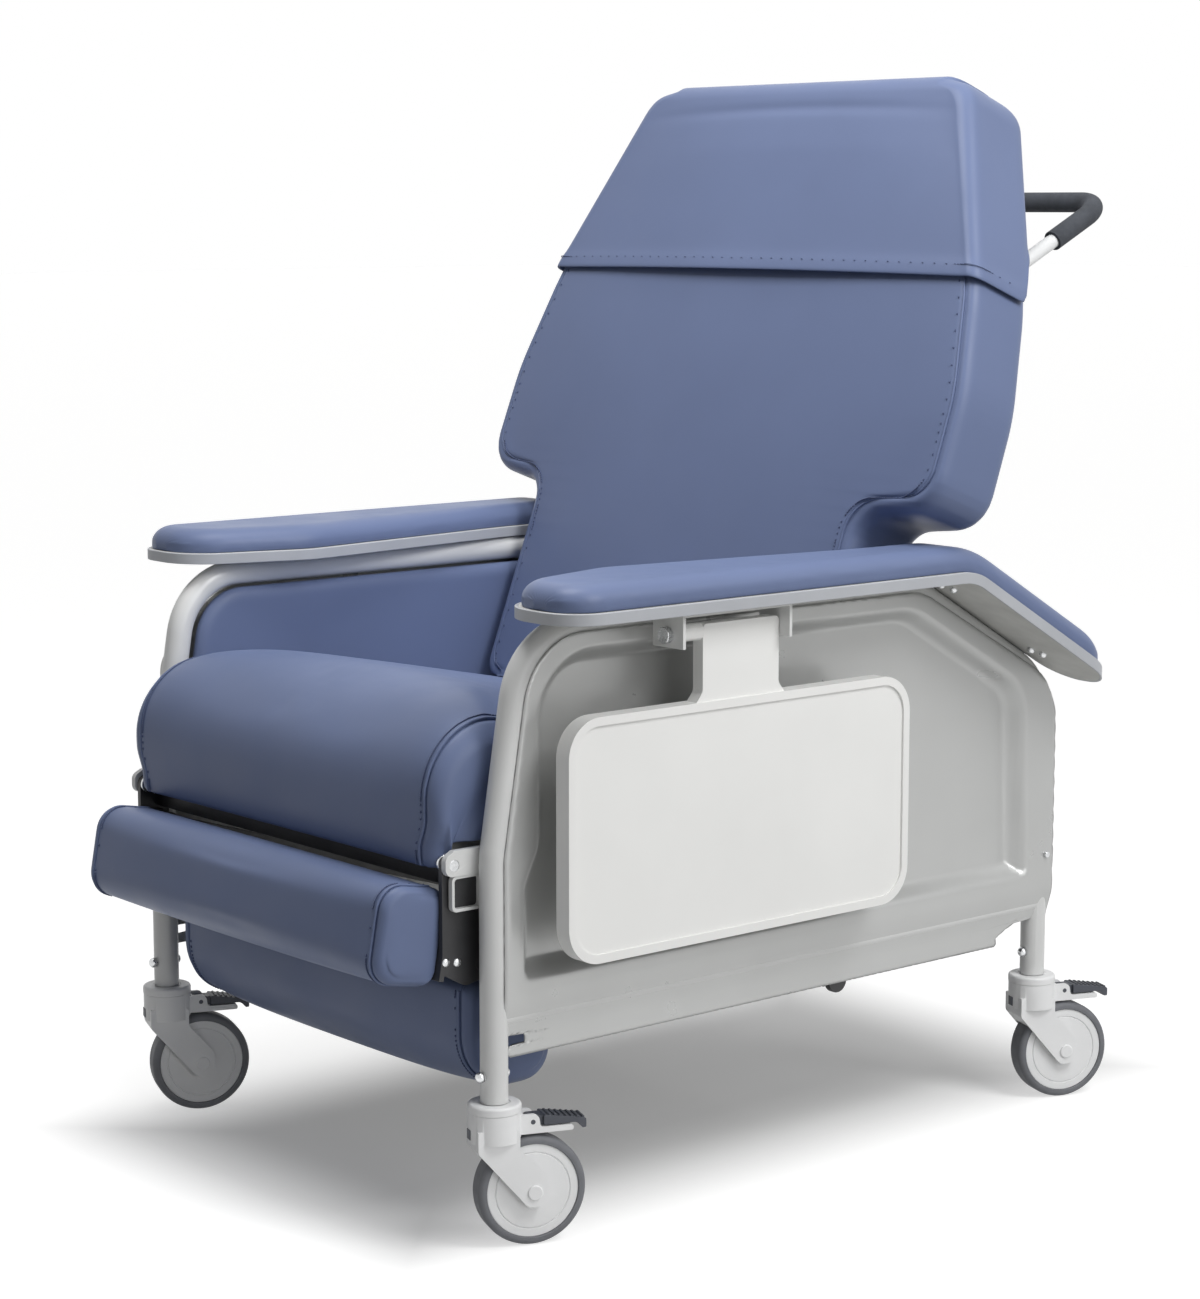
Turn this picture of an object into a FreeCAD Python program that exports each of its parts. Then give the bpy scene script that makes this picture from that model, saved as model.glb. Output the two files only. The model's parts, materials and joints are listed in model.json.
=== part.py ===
import FreeCAD, Part
import math
import os
import re
from FreeCAD import Placement, Rotation, Vector

# Clinical recliner on four castors, millimetres.
# X runs across the chair with +X at the sitter's left, the chair faces -Y and +Z is up.
# The origin is on the floor, under the middle of the chair's length and width.

SIZES = [
    # castors
    ("leg_from_seat", 34), ("front_leg_y", -443), ("rear_leg_y", 361),
    ("wheel_dia", 114), ("wheel_width", 28), ("hub_dia", 97), ("hub_width", 25),
    ("axle_dia", 10), ("castor_trail", 36.5), ("castor_swing", 21),
    ("collar_dia", 55), ("collar_top", 150), ("collar_height", 9),
    ("stem_dia", 16), ("stem_reach", 40), ("housing_dia", 54), ("housing_height", 30),
    ("fork_plate", 4), ("fork_gap", 2.5), ("fork_arm_width", 30),
    ("pedal_reach", 94), ("pedal_width", 24), ("pedal_hinge_u", 37),
    ("fender_reach", 80), ("fender_thick", 6), ("fender_width", 26),
    # side frames
    ("tube_dia", 28.6), ("tube_wall", 2), ("leg_kink_z", 400), ("rail_front_y", -406),
    ("rail_z", 622.5), ("arm_bend_y", 149), ("arm_slope", 30), ("bend_radius", 78),
    ("kink_radius", 160), ("side_rail_z", 237), ("side_rail_dia", 25),
    ("lug_thick", 7), ("seat_gap", 0.3),
    # side panels
    ("panel_thick", 2.5), ("panel_depth", 20), ("panel_draft", 10), ("panel_lip_z", 194),
    ("panel_ridge_z", 271), ("inner_panel_thick", 13), ("inner_panel_bottom", 430),
    ("inner_panel_clear", 2.2), ("inner_panel_past", 110), ("inner_panel_bend", 62),
    # arms
    ("arm_from_leg", 93), ("arm_board_thick", 12), ("arm_front_y", -419), ("arm_rear_y", 393),
    ("trim_thick", 2.5), ("arm_pad_thick", 26), ("arm_pad_inset", 6), ("arm_tail", 89), ("arm_waist", 106),
    ("arm_broad", 153), ("arm_broad_y", -271), ("arm_tip", 112), ("arm_bend_radius", 60),
    # side trays
    ("tray_from_leg", 68), ("tray_thick", 20), ("tray_front_y", -401), ("tray_length", 479),
    ("tray_bottom_z", 292), ("tray_height", 250), ("tray_corner", 40), ("tray_rim", 9),
    ("tray_sink", 2.5), ("neck_front_y", -222), ("neck_width", 106), ("neck_thick", 15),
    ("tray_pivot_z", 614), ("tray_pin_dia", 10), ("bracket_plate", 4), ("bracket_front_y", -263),
    ("bracket_width", 46),
    # seat
    ("seat_half", 272), ("seat_flare", 14), ("seat_flare_rear_y", 20), ("seat_front_y", -499),
    ("seat_rear_y", 119), ("seat_base_z", 415), ("seat_lip_z", 388), ("seat_lip_thick", 27),
    ("seat_front_z", 557), ("seat_rear_z", 446), ("seat_crown", 12), ("seat_end_drop", 30),
    ("seat_draw", 7), ("seat_roll", 62), ("deck_thick", 18), ("deck_from_seat", -10),
    ("front_rail_y", -446), ("front_rail_deep", 34), ("front_rail_tall", 30),
    ("rear_rail_y", 114), ("rear_rail_size", 30), ("rail_wall", 2.5),
    # back
    ("back_tilt", 21), ("back_foot_y", 5), ("back_foot_z", 487), ("back_thick", 96),
    ("tongue_from_seat", 9), ("notch_height", 240), ("wing_height", 250), ("wing_from_leg", 82),
    ("shoulder_height", 380), ("shoulder_from_leg", 80), ("hem_height", 511), ("hem_from_leg", 51),
    ("back_height", 750), ("top_from_seat", -25), ("notch_radius", 38), ("wing_radius", 41),
    ("shoulder_radius", 250), ("hem_radius", 300), ("top_radius", 75), ("tongue_radius", 25),
    ("tongue_drop", 20), ("back_clear_z", 476), ("back_clear_slope", 9), ("shoulder_run", 130),
    ("back_draw", 12), ("back_rim", 18), ("back_crown", 10), ("crown_reach", 80), ("hood_thick", 5),
    ("pivot_y", 64), ("pivot_z", 300), ("pivot_pin_dia", 16), ("post_plate", 8),
    ("post_from_seat", 3), ("crank_drop", 115), ("frame_bar", 22), ("board_from_seat", -10),
    ("board_thick", 14), ("board_low", 60), ("board_over_hem", 41), ("hood_rear_rise", 51),
    ("hood_side_depth", 94),
    # push bar
    ("push_from_seat", -47), ("push_rear_y", 555), ("push_z", 1046), ("push_root_y", 296),
    ("push_root_z", 920), ("push_dia", 17), ("grip_dia", 24), ("push_bend", 38),
    ("grip_front_y", 462),
    # leg rest
    ("leg_pivot_y", -481), ("leg_pivot_z", 395), ("leg_pin_dia", 12), ("leg_arm_from_seat", 6),
    ("leg_arm_thick", 6), ("leg_board_thick", 6), ("leg_board_low", -42), ("leg_board_tall", 64),
    ("calf_from_seat", 3), ("calf_y", -524.66), ("calf_z", 326), ("calf_deep", 76), ("calf_tall", 100),
    ("calf_tilt", 10.5), ("calf_front_radius", 25), ("calf_rear_radius", 8),
    ("calf_draw", 8), ("calf_crown", 4), ("leg_crank_back", 16), ("leg_crank_drop", 42.5),
    ("link_pin_dia", 10), ("link_from_seat", -18), ("link_thick", 8), ("link_tall", 16), ("link_eye_dia", 21),
    ("foot_shaft_y", -441), ("foot_shaft_z", 288), ("foot_shaft_dia", 14),
    ("foot_link_from_seat", -2), ("foot_link_thick", 6), ("foot_link_step", 55),
    ("foot_from_seat", -4), ("foot_front_y", -446), ("foot_rear_y", -335), ("foot_top_z", 264),
    ("foot_bottom_z", 139), ("foot_end_rise", 9), ("foot_draw", 8), ("foot_toe_radius", 62),
    ("foot_heel_radius", 30), ("foot_top_radius", 14),
    # fasteners and running fits
    ("bolt_dia", 11), ("bolt_head", 4), ("bolt_rise", 28), ("fit", 0.05),
]

# sizes that follow another size at a fixed distance
DERIVED = {
    "leg_x": ("seat_half", "leg_from_seat"), "seat_wide": ("seat_half", "seat_flare"),
    "deck_half": ("seat_half", "deck_from_seat"), "tongue_half": ("seat_half", "tongue_from_seat"),
    "post_x": ("seat_half", "post_from_seat"), "board_half": ("seat_half", "board_from_seat"),
    "push_half": ("seat_half", "push_from_seat"), "leg_arm_x": ("seat_half", "leg_arm_from_seat"),
    "calf_half": ("seat_half", "calf_from_seat"), "foot_half": ("seat_half", "foot_from_seat"),
    "link_x": ("seat_half", "link_from_seat"), "foot_link_x": ("seat_half", "foot_link_from_seat"),
    "back_top_half": ("seat_half", "top_from_seat"), "arm_outer_x": ("leg_x", "arm_from_leg"),
    "tray_outer_x": ("leg_x", "tray_from_leg"), "wing_half": ("leg_x", "wing_from_leg"),
    "shoulder_half": ("leg_x", "shoulder_from_leg"), "hem_half": ("leg_x", "hem_from_leg"),
    "board_high": ("hem_height", "board_over_hem"), "hood_rear_hem": ("hem_height", "hood_rear_rise"),
}

doc = FreeCAD.newDocument("ClinicalRecliner")
sheet = doc.addObject("Spreadsheet::Sheet", "Sizes")
for row, (alias, value) in enumerate(SIZES, 1):
    sheet.set("A%d" % row, alias)
    sheet.set("B%d" % row, str(value))
    sheet.setAlias("B%d" % row, alias)
doc.recompute()

ALIASES = {alias for alias, value in SIZES}
LEFT = 1
RIGHT = -1
SIDES = (("left", LEFT), ("right", RIGHT))
nodes = []


class SheetValues:
    """Reads a driving dimension from the sheet by its alias, or works out one that follows another."""

    def __getattr__(self, alias):
        if alias in DERIVED:
            return sum(getattr(self, name) for name in DERIVED[alias])
        return float(sheet.get(alias))


v = SheetValues()


def sheet_term(word):
    """A word of a formula as the sheet knows it."""
    if word in DERIVED:
        return "(%s + %s)" % tuple(sheet_term(name) for name in DERIVED[word])
    return "Sizes." + word if word in ALIASES else word


def bind(thing, prop, formula):
    """Ties a property to the sheet; the formula names the sheet's aliases."""
    thing.setExpression(prop, re.sub(r"[a-z_]+", lambda found: sheet_term(found.group()), formula))


def node(thing, label):
    """Marks a finished piece, whose label names its file."""
    thing.Label = label
    nodes.append(thing)
    return thing


# primitives and booleans

def block(name, x, y, z, length, width, height):
    """A box from its low corner and three sizes, all formulas."""
    box = doc.addObject("Part::Box", name)
    for prop, formula in (("Length", length), ("Width", width), ("Height", height),
                          ("Placement.Base.x", x), ("Placement.Base.y", y), ("Placement.Base.z", z)):
        bind(box, prop, formula)
    return box


AXIS_TURN = {"x": Rotation(Vector(0, 1, 0), 90), "y": Rotation(Vector(1, 0, 0), -90), "z": Rotation()}


def rod(name, axis, x, y, z, diameter, length):
    """A cylinder that starts at a point and runs along +X, +Y or +Z."""
    cylinder = doc.addObject("Part::Cylinder", name)
    cylinder.Placement = Placement(Vector(), AXIS_TURN[axis])
    for prop, formula in (("Radius", "(%s) / 2" % diameter), ("Height", length),
                          ("Placement.Base.x", x), ("Placement.Base.y", y), ("Placement.Base.z", z)):
        bind(cylinder, prop, formula)
    return cylinder


def fuse(name, *pieces):
    joined = doc.addObject("Part::MultiFuse", name)
    joined.Shapes = list(pieces)
    joined.Refine = True
    return joined


def cut(name, base, *tools):
    result = base
    for number, tool in enumerate(tools, 1):
        step = doc.addObject("Part::Cut", name if number == len(tools) else "%s_cut%d" % (name, number))
        step.Base = result
        step.Tool = tool
        result = step
    return result


def feature(name, shape):
    """A piece whose shape comes from lofts or sweeps."""
    piece = doc.addObject("Part::Feature", name)
    piece.Shape = shape
    return piece


# outlines

FULLEST_RUN = 0.98


def rounded(corners):
    """Edges of a closed outline; each corner is (a, b) or (a, b, radius)."""
    points = [Vector(corner[0], corner[1], 0) for corner in corners]
    radii = [corner[2] if len(corner) > 2 else 0 for corner in corners]
    return trimmed(points, radii, closed=True)


def corner_turn(points, i):
    """The directions to a corner's two neighbours, and half the angle between them."""
    back = (points[i - 1] - points[i]).normalize()
    ahead = (points[(i + 1) % len(points)] - points[i]).normalize()
    return back, ahead, back.getAngle(ahead) / 2


def fitted_reach(points, reaches, i):
    """How far a corner's arc reaches along its runs, shortened where two arcs would meet."""
    share = 1
    for j in (i - 1, (i + 1) % len(points)):
        run = points[i].distanceToPoint(points[j])
        wanted = reaches[i] + reaches[j]
        if wanted > run:
            share = min(share, FULLEST_RUN * run / wanted)
    return reaches[i] * share


def trimmed(points, radii, closed):
    """Straight runs joined by tangent arcs."""
    count = len(points)
    reaches = [0] * count
    for i in range(count):
        if radii[i] > 0 and (closed or 0 < i < count - 1):
            reaches[i] = radii[i] / math.tan(corner_turn(points, i)[2])
    stops = []
    for i, point in enumerate(points):
        if reaches[i] == 0:
            stops.append((point, None, point))
            continue
        back, ahead, half = corner_turn(points, i)
        reach = fitted_reach(points, reaches, i)
        radius = reach * math.tan(half)
        bisector = (back + ahead).normalize()
        middle = point + bisector * (radius / math.sin(half) - radius)
        stops.append((point + back * reach, middle, point + ahead * reach))
    edges = []
    for i in range(count):
        start, middle, end = stops[i]
        if middle is not None:
            edges.append(Part.Arc(start, middle, end))
        if i < count - 1 or closed:
            target = stops[(i + 1) % count][0]
            if end.distanceToPoint(target) > 1e-6:
                edges.append(Part.LineSegment(end, target))
    return edges


def wire_of(edges):
    return Part.Wire([edge.toShape() for edge in edges])


def side_wire(corners, x):
    """A rounded outline given as (y, z) on the plane at x."""
    wire = wire_of(rounded(corners))
    turn = Placement(Vector(x, 0, 0), Rotation(Vector(0, 1, 0), Vector(0, 0, 1), Vector(1, 0, 0)))
    return placed(wire, turn)


def placed(shape, placement):
    copy = shape.copy()
    copy.Placement = placement.multiply(copy.Placement)
    return copy


def loft(wires):
    """A closed skin, straight from each outline to the next."""
    return Part.makeLoft(wires, True, True)


# sketched bodies

def plane_of(body, role):
    return next(item for item in body.Origin.OriginFeatures if item.Role == role)


def sketch_on(body, name, role, edges, start):
    sketch = body.newObject("Sketcher::SketchObject", name)
    sketch.AttachmentSupport = [(plane_of(body, role), "")]
    sketch.MapMode = "FlatFace"
    bind(sketch, "AttachmentOffset.Base.z", start)
    sketch.addGeometry(edges, False)
    return sketch


def padded(name, role, edges, start, length):
    """A body padded from one outline; start and length run along the plane's normal."""
    body = doc.addObject("PartDesign::Body", name)
    sketch = sketch_on(body, name + "_sketch", role, edges, start)
    pad = body.newObject("PartDesign::Pad", name + "_pad")
    pad.Profile = sketch
    bind(pad, "Length", length)
    return body


def side_plate(name, side, corners, inner_x, thick):
    """A plate parallel to the chair's side, from inner_x outwards."""
    start = inner_x if side == LEFT else "-(%s) - (%s)" % (inner_x, thick)
    return padded(name, "YZ_Plane", rounded(corners), start, thick)


def revolved(name, edges):
    """A body turned about Z from a half section in the XZ plane."""
    body = doc.addObject("PartDesign::Body", name)
    sketch = sketch_on(body, name + "_sketch", "XZ_Plane", edges, "0")
    turn = body.newObject("PartDesign::Revolution", name + "_turn")
    turn.Profile = sketch
    turn.ReferenceAxis = (sketch, ["V_Axis"])
    turn.Angle = 360
    return body


def circle(a, b, diameter):
    return [Part.Circle(Vector(a, b, 0), Vector(0, 0, 1), diameter / 2)]


# tubes

def tube(points, radii, outer, bore=0):
    """A round tube along straight runs and tangent bends."""
    path = wire_of(trimmed(points, radii, closed=False))
    heading = points[1] - points[0]

    def swept(diameter):
        ring = Part.Wire(Part.makeCircle(diameter / 2, points[0], heading))
        return path.makePipeShell([ring], True, False)

    body = swept(outer)
    return body.cut(swept(bore)) if bore else body


# castors: a fixed stem and collar, a swivelling fork, a wheel on its axle and a brake pedal

CASTORS = (("front_left", LEFT, "front_leg_y"), ("front_right", RIGHT, "front_leg_y"),
           ("rear_left", LEFT, "rear_leg_y"), ("rear_right", RIGHT, "rear_leg_y"))


def stand_castor(body, side, leg_y, lift="0"):
    """Turns a castor piece to the common swing and sets it under its leg."""
    body.Placement = Placement(Vector(), Rotation(Vector(0, 0, 1), 90 - v.castor_swing))
    bind(body, "Placement.Base.x", "%d * leg_x" % side)
    bind(body, "Placement.Base.y", leg_y)
    bind(body, "Placement.Base.z", lift)
    bind(body, "Placement.Rotation.Angle", "90 - castor_swing")


def swing_wheel(body, side, leg_y):
    """Lays a turned wheel piece on the castor's axle line."""
    swing = Rotation(Vector(0, 0, 1), 90 - v.castor_swing)
    body.Placement = Placement(Vector(), swing.multiply(Rotation(Vector(1, 0, 0), 90)))
    bind(body, "Placement.Base.x", "%d * leg_x + castor_trail * sin(castor_swing)" % side)
    bind(body, "Placement.Base.y", "%s + castor_trail * cos(castor_swing)" % leg_y)
    bind(body, "Placement.Base.z", "wheel_dia / 2")


def castor_collar(name, side, leg_y):
    collar = revolved("collar_turning_" + name, rounded([
        (0, v.collar_top - v.collar_height), (v.collar_dia / 2, v.collar_top - v.collar_height),
        (v.collar_dia / 2, v.collar_top, 3), (v.tube_dia / 2 + 2, v.collar_top),
        (v.tube_dia / 2 + 2, v.collar_top - 1), (v.stem_dia / 2, v.collar_top - 1),
        (v.stem_dia / 2, v.collar_top + v.stem_reach, 3), (0, v.collar_top + v.stem_reach)]))
    bore = v.tube_dia / 2 - v.tube_wall
    plug = revolved("castor_plug_" + name, rounded([
        (0, v.collar_top + 4), (bore, v.collar_top + 4),
        (bore, v.collar_top + v.stem_reach - 4), (0, v.collar_top + v.stem_reach - 4)]))
    whole = fuse("castor_stem_" + name, collar, plug)
    bind(whole, "Placement.Base.x", "%d * leg_x" % side)
    bind(whole, "Placement.Base.y", leg_y)
    return node(whole, "castor_collar_" + name)


def fork_half_width():
    return v.wheel_width / 2 + v.fork_gap + v.fork_plate


def castor_fork(name, side, leg_y):
    top = v.collar_top - v.collar_height
    base = top - v.housing_height
    radius = v.housing_dia / 2
    axle_z = v.wheel_dia / 2
    arm = v.fork_arm_width / 2
    width = 2 * fork_half_width()
    fork = padded("fork_" + name, "XZ_Plane", rounded([
        (-radius + 4, base + 14), (radius - 6, base + 14, 6), (radius - 6, base - 8, 10),
        (v.castor_trail + arm, axle_z + arm - 4, 12), (v.castor_trail + arm - 2, axle_z - arm, 12),
        (v.castor_trail - arm + 8, axle_z - arm, 10), (-radius + 4, base - 8, 6)]),
        "-(wheel_width / 2 + fork_gap + fork_plate)", "wheel_width + 2 * (fork_gap + fork_plate)")
    housing = padded("housing_" + name, "XY_Plane", circle(0, 0, v.housing_dia),
                     "collar_top - collar_height - housing_height", "housing_height - seat_gap")
    fender_z = v.wheel_dia + v.fork_gap
    fender = padded("fender_" + name, "XZ_Plane", rounded([
        (0, fender_z), (v.fender_reach, fender_z, 2), (v.fender_reach, fender_z + v.fender_thick, 3),
        (v.pedal_hinge_u + 8, fender_z + v.fender_thick, 4),
        (v.pedal_hinge_u + 6, fender_z + v.fender_thick + 14, 7),
        (0, fender_z + v.fender_thick + 14)]), "-fender_width / 2", "fender_width")
    pedal_slot = padded("pedal_slot_" + name, "XZ_Plane", rounded([
        (radius + 1, fender_z + v.fender_thick), (v.pedal_reach, fender_z + v.fender_thick),
        (v.pedal_reach, top), (radius + 1, top)]), "-(fender_width / 2 - 4)", "fender_width - 8")
    wheel_room = padded("wheel_room_" + name, "XZ_Plane",
                        circle(v.castor_trail, axle_z, v.wheel_dia + 2 * v.fork_gap - 1),
                        "-(wheel_width / 2 + fork_gap)", "wheel_width + 2 * fork_gap")
    axle_hole = padded("axle_hole_" + name, "XZ_Plane", circle(v.castor_trail, axle_z, v.axle_dia),
                       "-(wheel_width / 2 + fork_gap + fork_plate + 1)",
                       "wheel_width + 2 * (fork_gap + fork_plate + 1)")
    pin_hole = padded("pin_hole_" + name, "XZ_Plane",
                      circle(v.pedal_hinge_u, fender_z + v.fender_thick + 6, 5 + 2 * v.fit),
                      "-(fender_width / 2 + 1)", "fender_width + 2")
    shell = fuse("fork_shell_" + name, fork, housing, fender)
    whole = cut("castor_fork_" + name, shell, wheel_room, axle_hole, pedal_slot, pin_hole)
    stand_castor(whole, side, leg_y)
    return node(whole, "castor_fork_" + name)


def castor_pedal(name, side, leg_y):
    low = v.wheel_dia + v.fork_gap + v.fender_thick
    hinge_z = low + 6
    root = padded("pedal_root_" + name, "XZ_Plane", rounded([
        (v.pedal_hinge_u - 5, low + 1, 4), (v.pedal_hinge_u + 14, low + 1),
        (v.pedal_hinge_u + 14, low + 11), (v.pedal_hinge_u - 5, low + 11, 4)]),
        "-(fender_width / 2 - 4.4)", "fender_width - 8.8")
    first = v.pedal_hinge_u + 12
    tread = [(first, low + 1.5), (v.pedal_reach - 10, low + 1.5, 8), (v.pedal_reach - 4, low - 5),
             (v.pedal_reach, low - 5, 1.5), (v.pedal_reach, low + 5, 3), (first, low + 12, 1.5)]
    plate = padded("pedal_tread_" + name, "XZ_Plane", rounded(tread),
                   "-pedal_width / 2", "pedal_width")
    pin = padded("pedal_pin_" + name, "XZ_Plane", circle(v.pedal_hinge_u, hinge_z, 5),
                 "-fender_width / 2", "fender_width")
    whole = fuse("castor_pedal_" + name, root, plate, pin)
    stand_castor(whole, side, leg_y)
    return node(whole, "castor_pedal_" + name)


def castor_wheel(name, side, leg_y):
    half = v.hub_width / 2
    rim = v.hub_dia / 2
    groove = rim - 9
    hub = revolved("castor_hub_" + name, rounded([
        (v.axle_dia / 2 + v.fit, -half), (groove - 1, -half), (groove, -half + 1.5), (groove + 1, -half),
        (rim, -half, 1), (rim, half, 1), (groove + 1, half), (groove, half - 1.5), (groove - 1, half),
        (v.axle_dia / 2 + v.fit, half)]))
    swing_wheel(hub, side, leg_y)
    node(hub, "castor_hub_" + name)
    tread = v.wheel_width / 2
    tyre = revolved("castor_tyre_" + name, rounded([
        (rim, -tread, 1), (v.wheel_dia / 2, -tread, 6), (v.wheel_dia / 2, tread, 6), (rim, tread, 1)]))
    swing_wheel(tyre, side, leg_y)
    node(tyre, "castor_tyre_" + name)
    reach = fork_half_width()
    axle = revolved("castor_axle_" + name, rounded([
        (0, -reach - 2), (8, -reach - 2, 1.5), (8, -reach), (v.axle_dia / 2, -reach),
        (v.axle_dia / 2, reach), (8, reach), (8, reach + 2, 1.5), (0, reach + 2)]))
    swing_wheel(axle, side, leg_y)
    node(axle, "castor_axle_" + name)


for corner, side, leg_y in CASTORS:
    castor_collar(corner, side, leg_y)
    castor_fork(corner, side, leg_y)
    castor_wheel(corner, side, leg_y)
    castor_pedal(corner, side, leg_y)


# side frames: one bent tube from leg to leg, with a lower rail and a pivot lug welded on

def rear_corner_z():
    return v.rail_z - (v.rear_leg_y - v.arm_bend_y) * math.tan(math.radians(v.arm_slope))


def side_frame(name, side):
    x = side * v.leg_x
    points = [Vector(x, v.front_leg_y, v.collar_top), Vector(x, v.front_leg_y, v.leg_kink_z),
              Vector(x, v.rail_front_y, v.rail_z), Vector(x, v.arm_bend_y, v.rail_z),
              Vector(x, v.rear_leg_y, rear_corner_z()), Vector(x, v.rear_leg_y, v.collar_top)]
    radii = [0, v.kink_radius, v.bend_radius, v.bend_radius, v.bend_radius, 0]
    loop = tube(points, radii, v.tube_dia)
    bore = tube(points, radii, v.tube_dia - 2 * v.tube_wall)
    rail = Part.makeCylinder(v.side_rail_dia / 2, v.rear_leg_y - v.front_leg_y,
                             Vector(x, v.front_leg_y, v.side_rail_z), Vector(0, 1, 0))
    rail_bore = Part.makeCylinder(v.side_rail_dia / 2 - v.tube_wall, v.rear_leg_y - v.front_leg_y,
                                  Vector(x, v.front_leg_y, v.side_rail_z), Vector(0, 1, 0))
    lug_outer = v.leg_x - v.tube_dia / 2 + v.tube_wall / 2
    outline = side_wire([
        (v.front_leg_y + 8, v.leg_pivot_z - 11, 3), (v.front_leg_y + 8, v.leg_pivot_z + 15, 3),
        (v.leg_pivot_y, v.leg_pivot_z + 15, 6), (v.leg_pivot_y - 11, v.leg_pivot_z + 9, 8),
        (v.leg_pivot_y - 11, v.leg_pivot_z - 11, 9)], side * lug_outer)
    lug = Part.Face(outline).extrude(Vector(-side * v.lug_thick, 0, 0))
    pin = Part.makeCylinder(v.leg_pin_dia / 2, 4 * v.lug_thick,
                            Vector(side * (lug_outer + v.lug_thick), v.leg_pivot_y, v.leg_pivot_z),
                            Vector(-side, 0, 0))
    whole = loop.fuse([rail, lug.cut(pin)]).cut(bore).cut(rail_bore.cut(loop))
    return node(feature("side_frame_" + name, whole.removeSplitter()), "side_frame_" + name)


# side panels: a pressed sheet on the outside of the tube with a dished field and a folded skirt

def panel_plane():
    return v.leg_x + v.tube_dia / 2 + v.seat_gap


def panel_outline():
    rear = v.rear_leg_y + v.tube_dia / 2
    lip = v.panel_lip_z
    return [(v.front_leg_y + 2, lip + 23), (v.front_leg_y + 34, lip + 23, 4),
            (v.front_leg_y + 34, lip + 12), (v.front_leg_y + 11, lip + 12, 5),
            (v.front_leg_y + 11, lip, 5), (v.rear_leg_y - 71, lip, 3),
            (v.rear_leg_y - 71, lip + 11, 6), (v.rear_leg_y - 37, lip + 25, 6), (rear, lip + 25, 3),
            (rear, rear_corner_z() - 4, v.bend_radius), (v.arm_bend_y, v.rail_z - 2, v.bend_radius),
            (v.rail_front_y + 2, v.rail_z - 2, v.bend_radius), (v.front_leg_y + 2, v.leg_kink_z)]


def field_outline(inset):
    front = v.front_leg_y + 24 + inset
    rear = v.rear_leg_y - 29 - inset
    top = v.rail_z - 17 - inset
    step = v.leg_kink_z - 28
    return [(front, v.panel_ridge_z + inset, 14), (front, step, 30), (front + 18, step + 36, 30),
            (front + 18, top, 75 - inset), (v.arm_bend_y - 12 - inset / 2, top, 90),
            (rear - 8, rear_corner_z() - 2 - inset, 60 - inset), (rear, v.panel_ridge_z + inset, 14)]


def side_panel(name, side):
    outer = panel_plane() + v.panel_thick
    floor = outer - v.panel_depth
    sheet_face = Part.Face(side_wire(panel_outline(), side * outer))
    plate = sheet_face.extrude(Vector(-side * v.panel_thick, 0, 0))
    dish = loft([side_wire(field_outline(0), side * outer),
                 side_wire(field_outline(v.panel_draft), side * floor)])
    skin = v.panel_thick
    pan = loft([side_wire(field_outline(-skin), side * outer),
                side_wire(field_outline(v.panel_draft - skin), side * (floor - skin))])
    lip = Part.makeBox(6, v.rear_leg_y - v.front_leg_y - 90, v.panel_thick,
                       Vector(outer - v.panel_thick - 6, v.front_leg_y + 16, v.panel_lip_z))
    if side == RIGHT:
        lip = lip.mirror(Vector(), Vector(1, 0, 0))
    whole = plate.fuse([pan, lip]).cut(dish)
    return node(feature("side_panel_" + name, whole.removeSplitter()), "side_panel_" + name)


def inner_panel(name, side):
    outer = panel_plane() - v.panel_depth - v.seat_gap
    offset = v.tube_dia / 2 + v.inner_panel_clear
    bend_y, top = arm_line(-offset)[1]
    bottom = v.inner_panel_bottom
    rear = v.arm_bend_y + v.inner_panel_past
    rear_top = top - (rear - bend_y) * math.tan(math.radians(v.arm_slope))
    lean = (v.rail_front_y - v.front_leg_y) / (v.rail_z - v.leg_kink_z)

    def front_at(z):
        """Where the panel's front edge runs beside the leaning tube."""
        return v.rail_front_y + (z - v.rail_z) * lean + offset + v.panel_thick / 2

    def section(inset, depth):
        return side_wire([(front_at(bottom) + inset, bottom + inset, 20),
                          (front_at(top) + inset, top - inset, v.inner_panel_bend),
                          (bend_y - inset, top - inset, v.inner_panel_bend),
                          (rear - inset, rear_top - inset, 40), (rear - inset, bottom + inset, 20)],
                         side * (outer - depth))

    whole = loft([section(3, 0), section(0, 3), section(0, v.inner_panel_thick - 5),
                  section(6, v.inner_panel_thick)])
    return node(feature("inner_panel_" + name, whole), "inner_panel_" + name)


# arms: a bent board edged with a band, and a padded top

def arm_line(height):
    """Front, bend and rear points of a line that follows the arm at a height over the tube's centre."""
    slope = math.radians(v.arm_slope)
    bend = (v.arm_bend_y + height * math.tan(slope / 2), v.rail_z + height)
    reach = v.arm_rear_y + 60 - bend[0]
    return [(v.arm_front_y - 60, bend[1]), bend, (bend[0] + reach, bend[1] - reach * math.tan(slope))]


def arm_plan(inset):
    outer = v.arm_outer_x - inset
    front = v.arm_front_y + inset
    rear = v.arm_rear_y - inset
    round_end = 45 - inset
    return [(outer, front, round_end), (outer, rear, round_end),
            (outer - v.arm_tail + 2 * inset, rear, round_end - 5),
            (v.arm_outer_x - v.arm_waist + inset, v.arm_bend_y - v.arm_waist, 300),
            (v.arm_outer_x - v.arm_broad + inset, v.arm_broad_y, 90),
            (v.arm_outer_x - v.arm_tip + inset, front, 60)]


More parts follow.
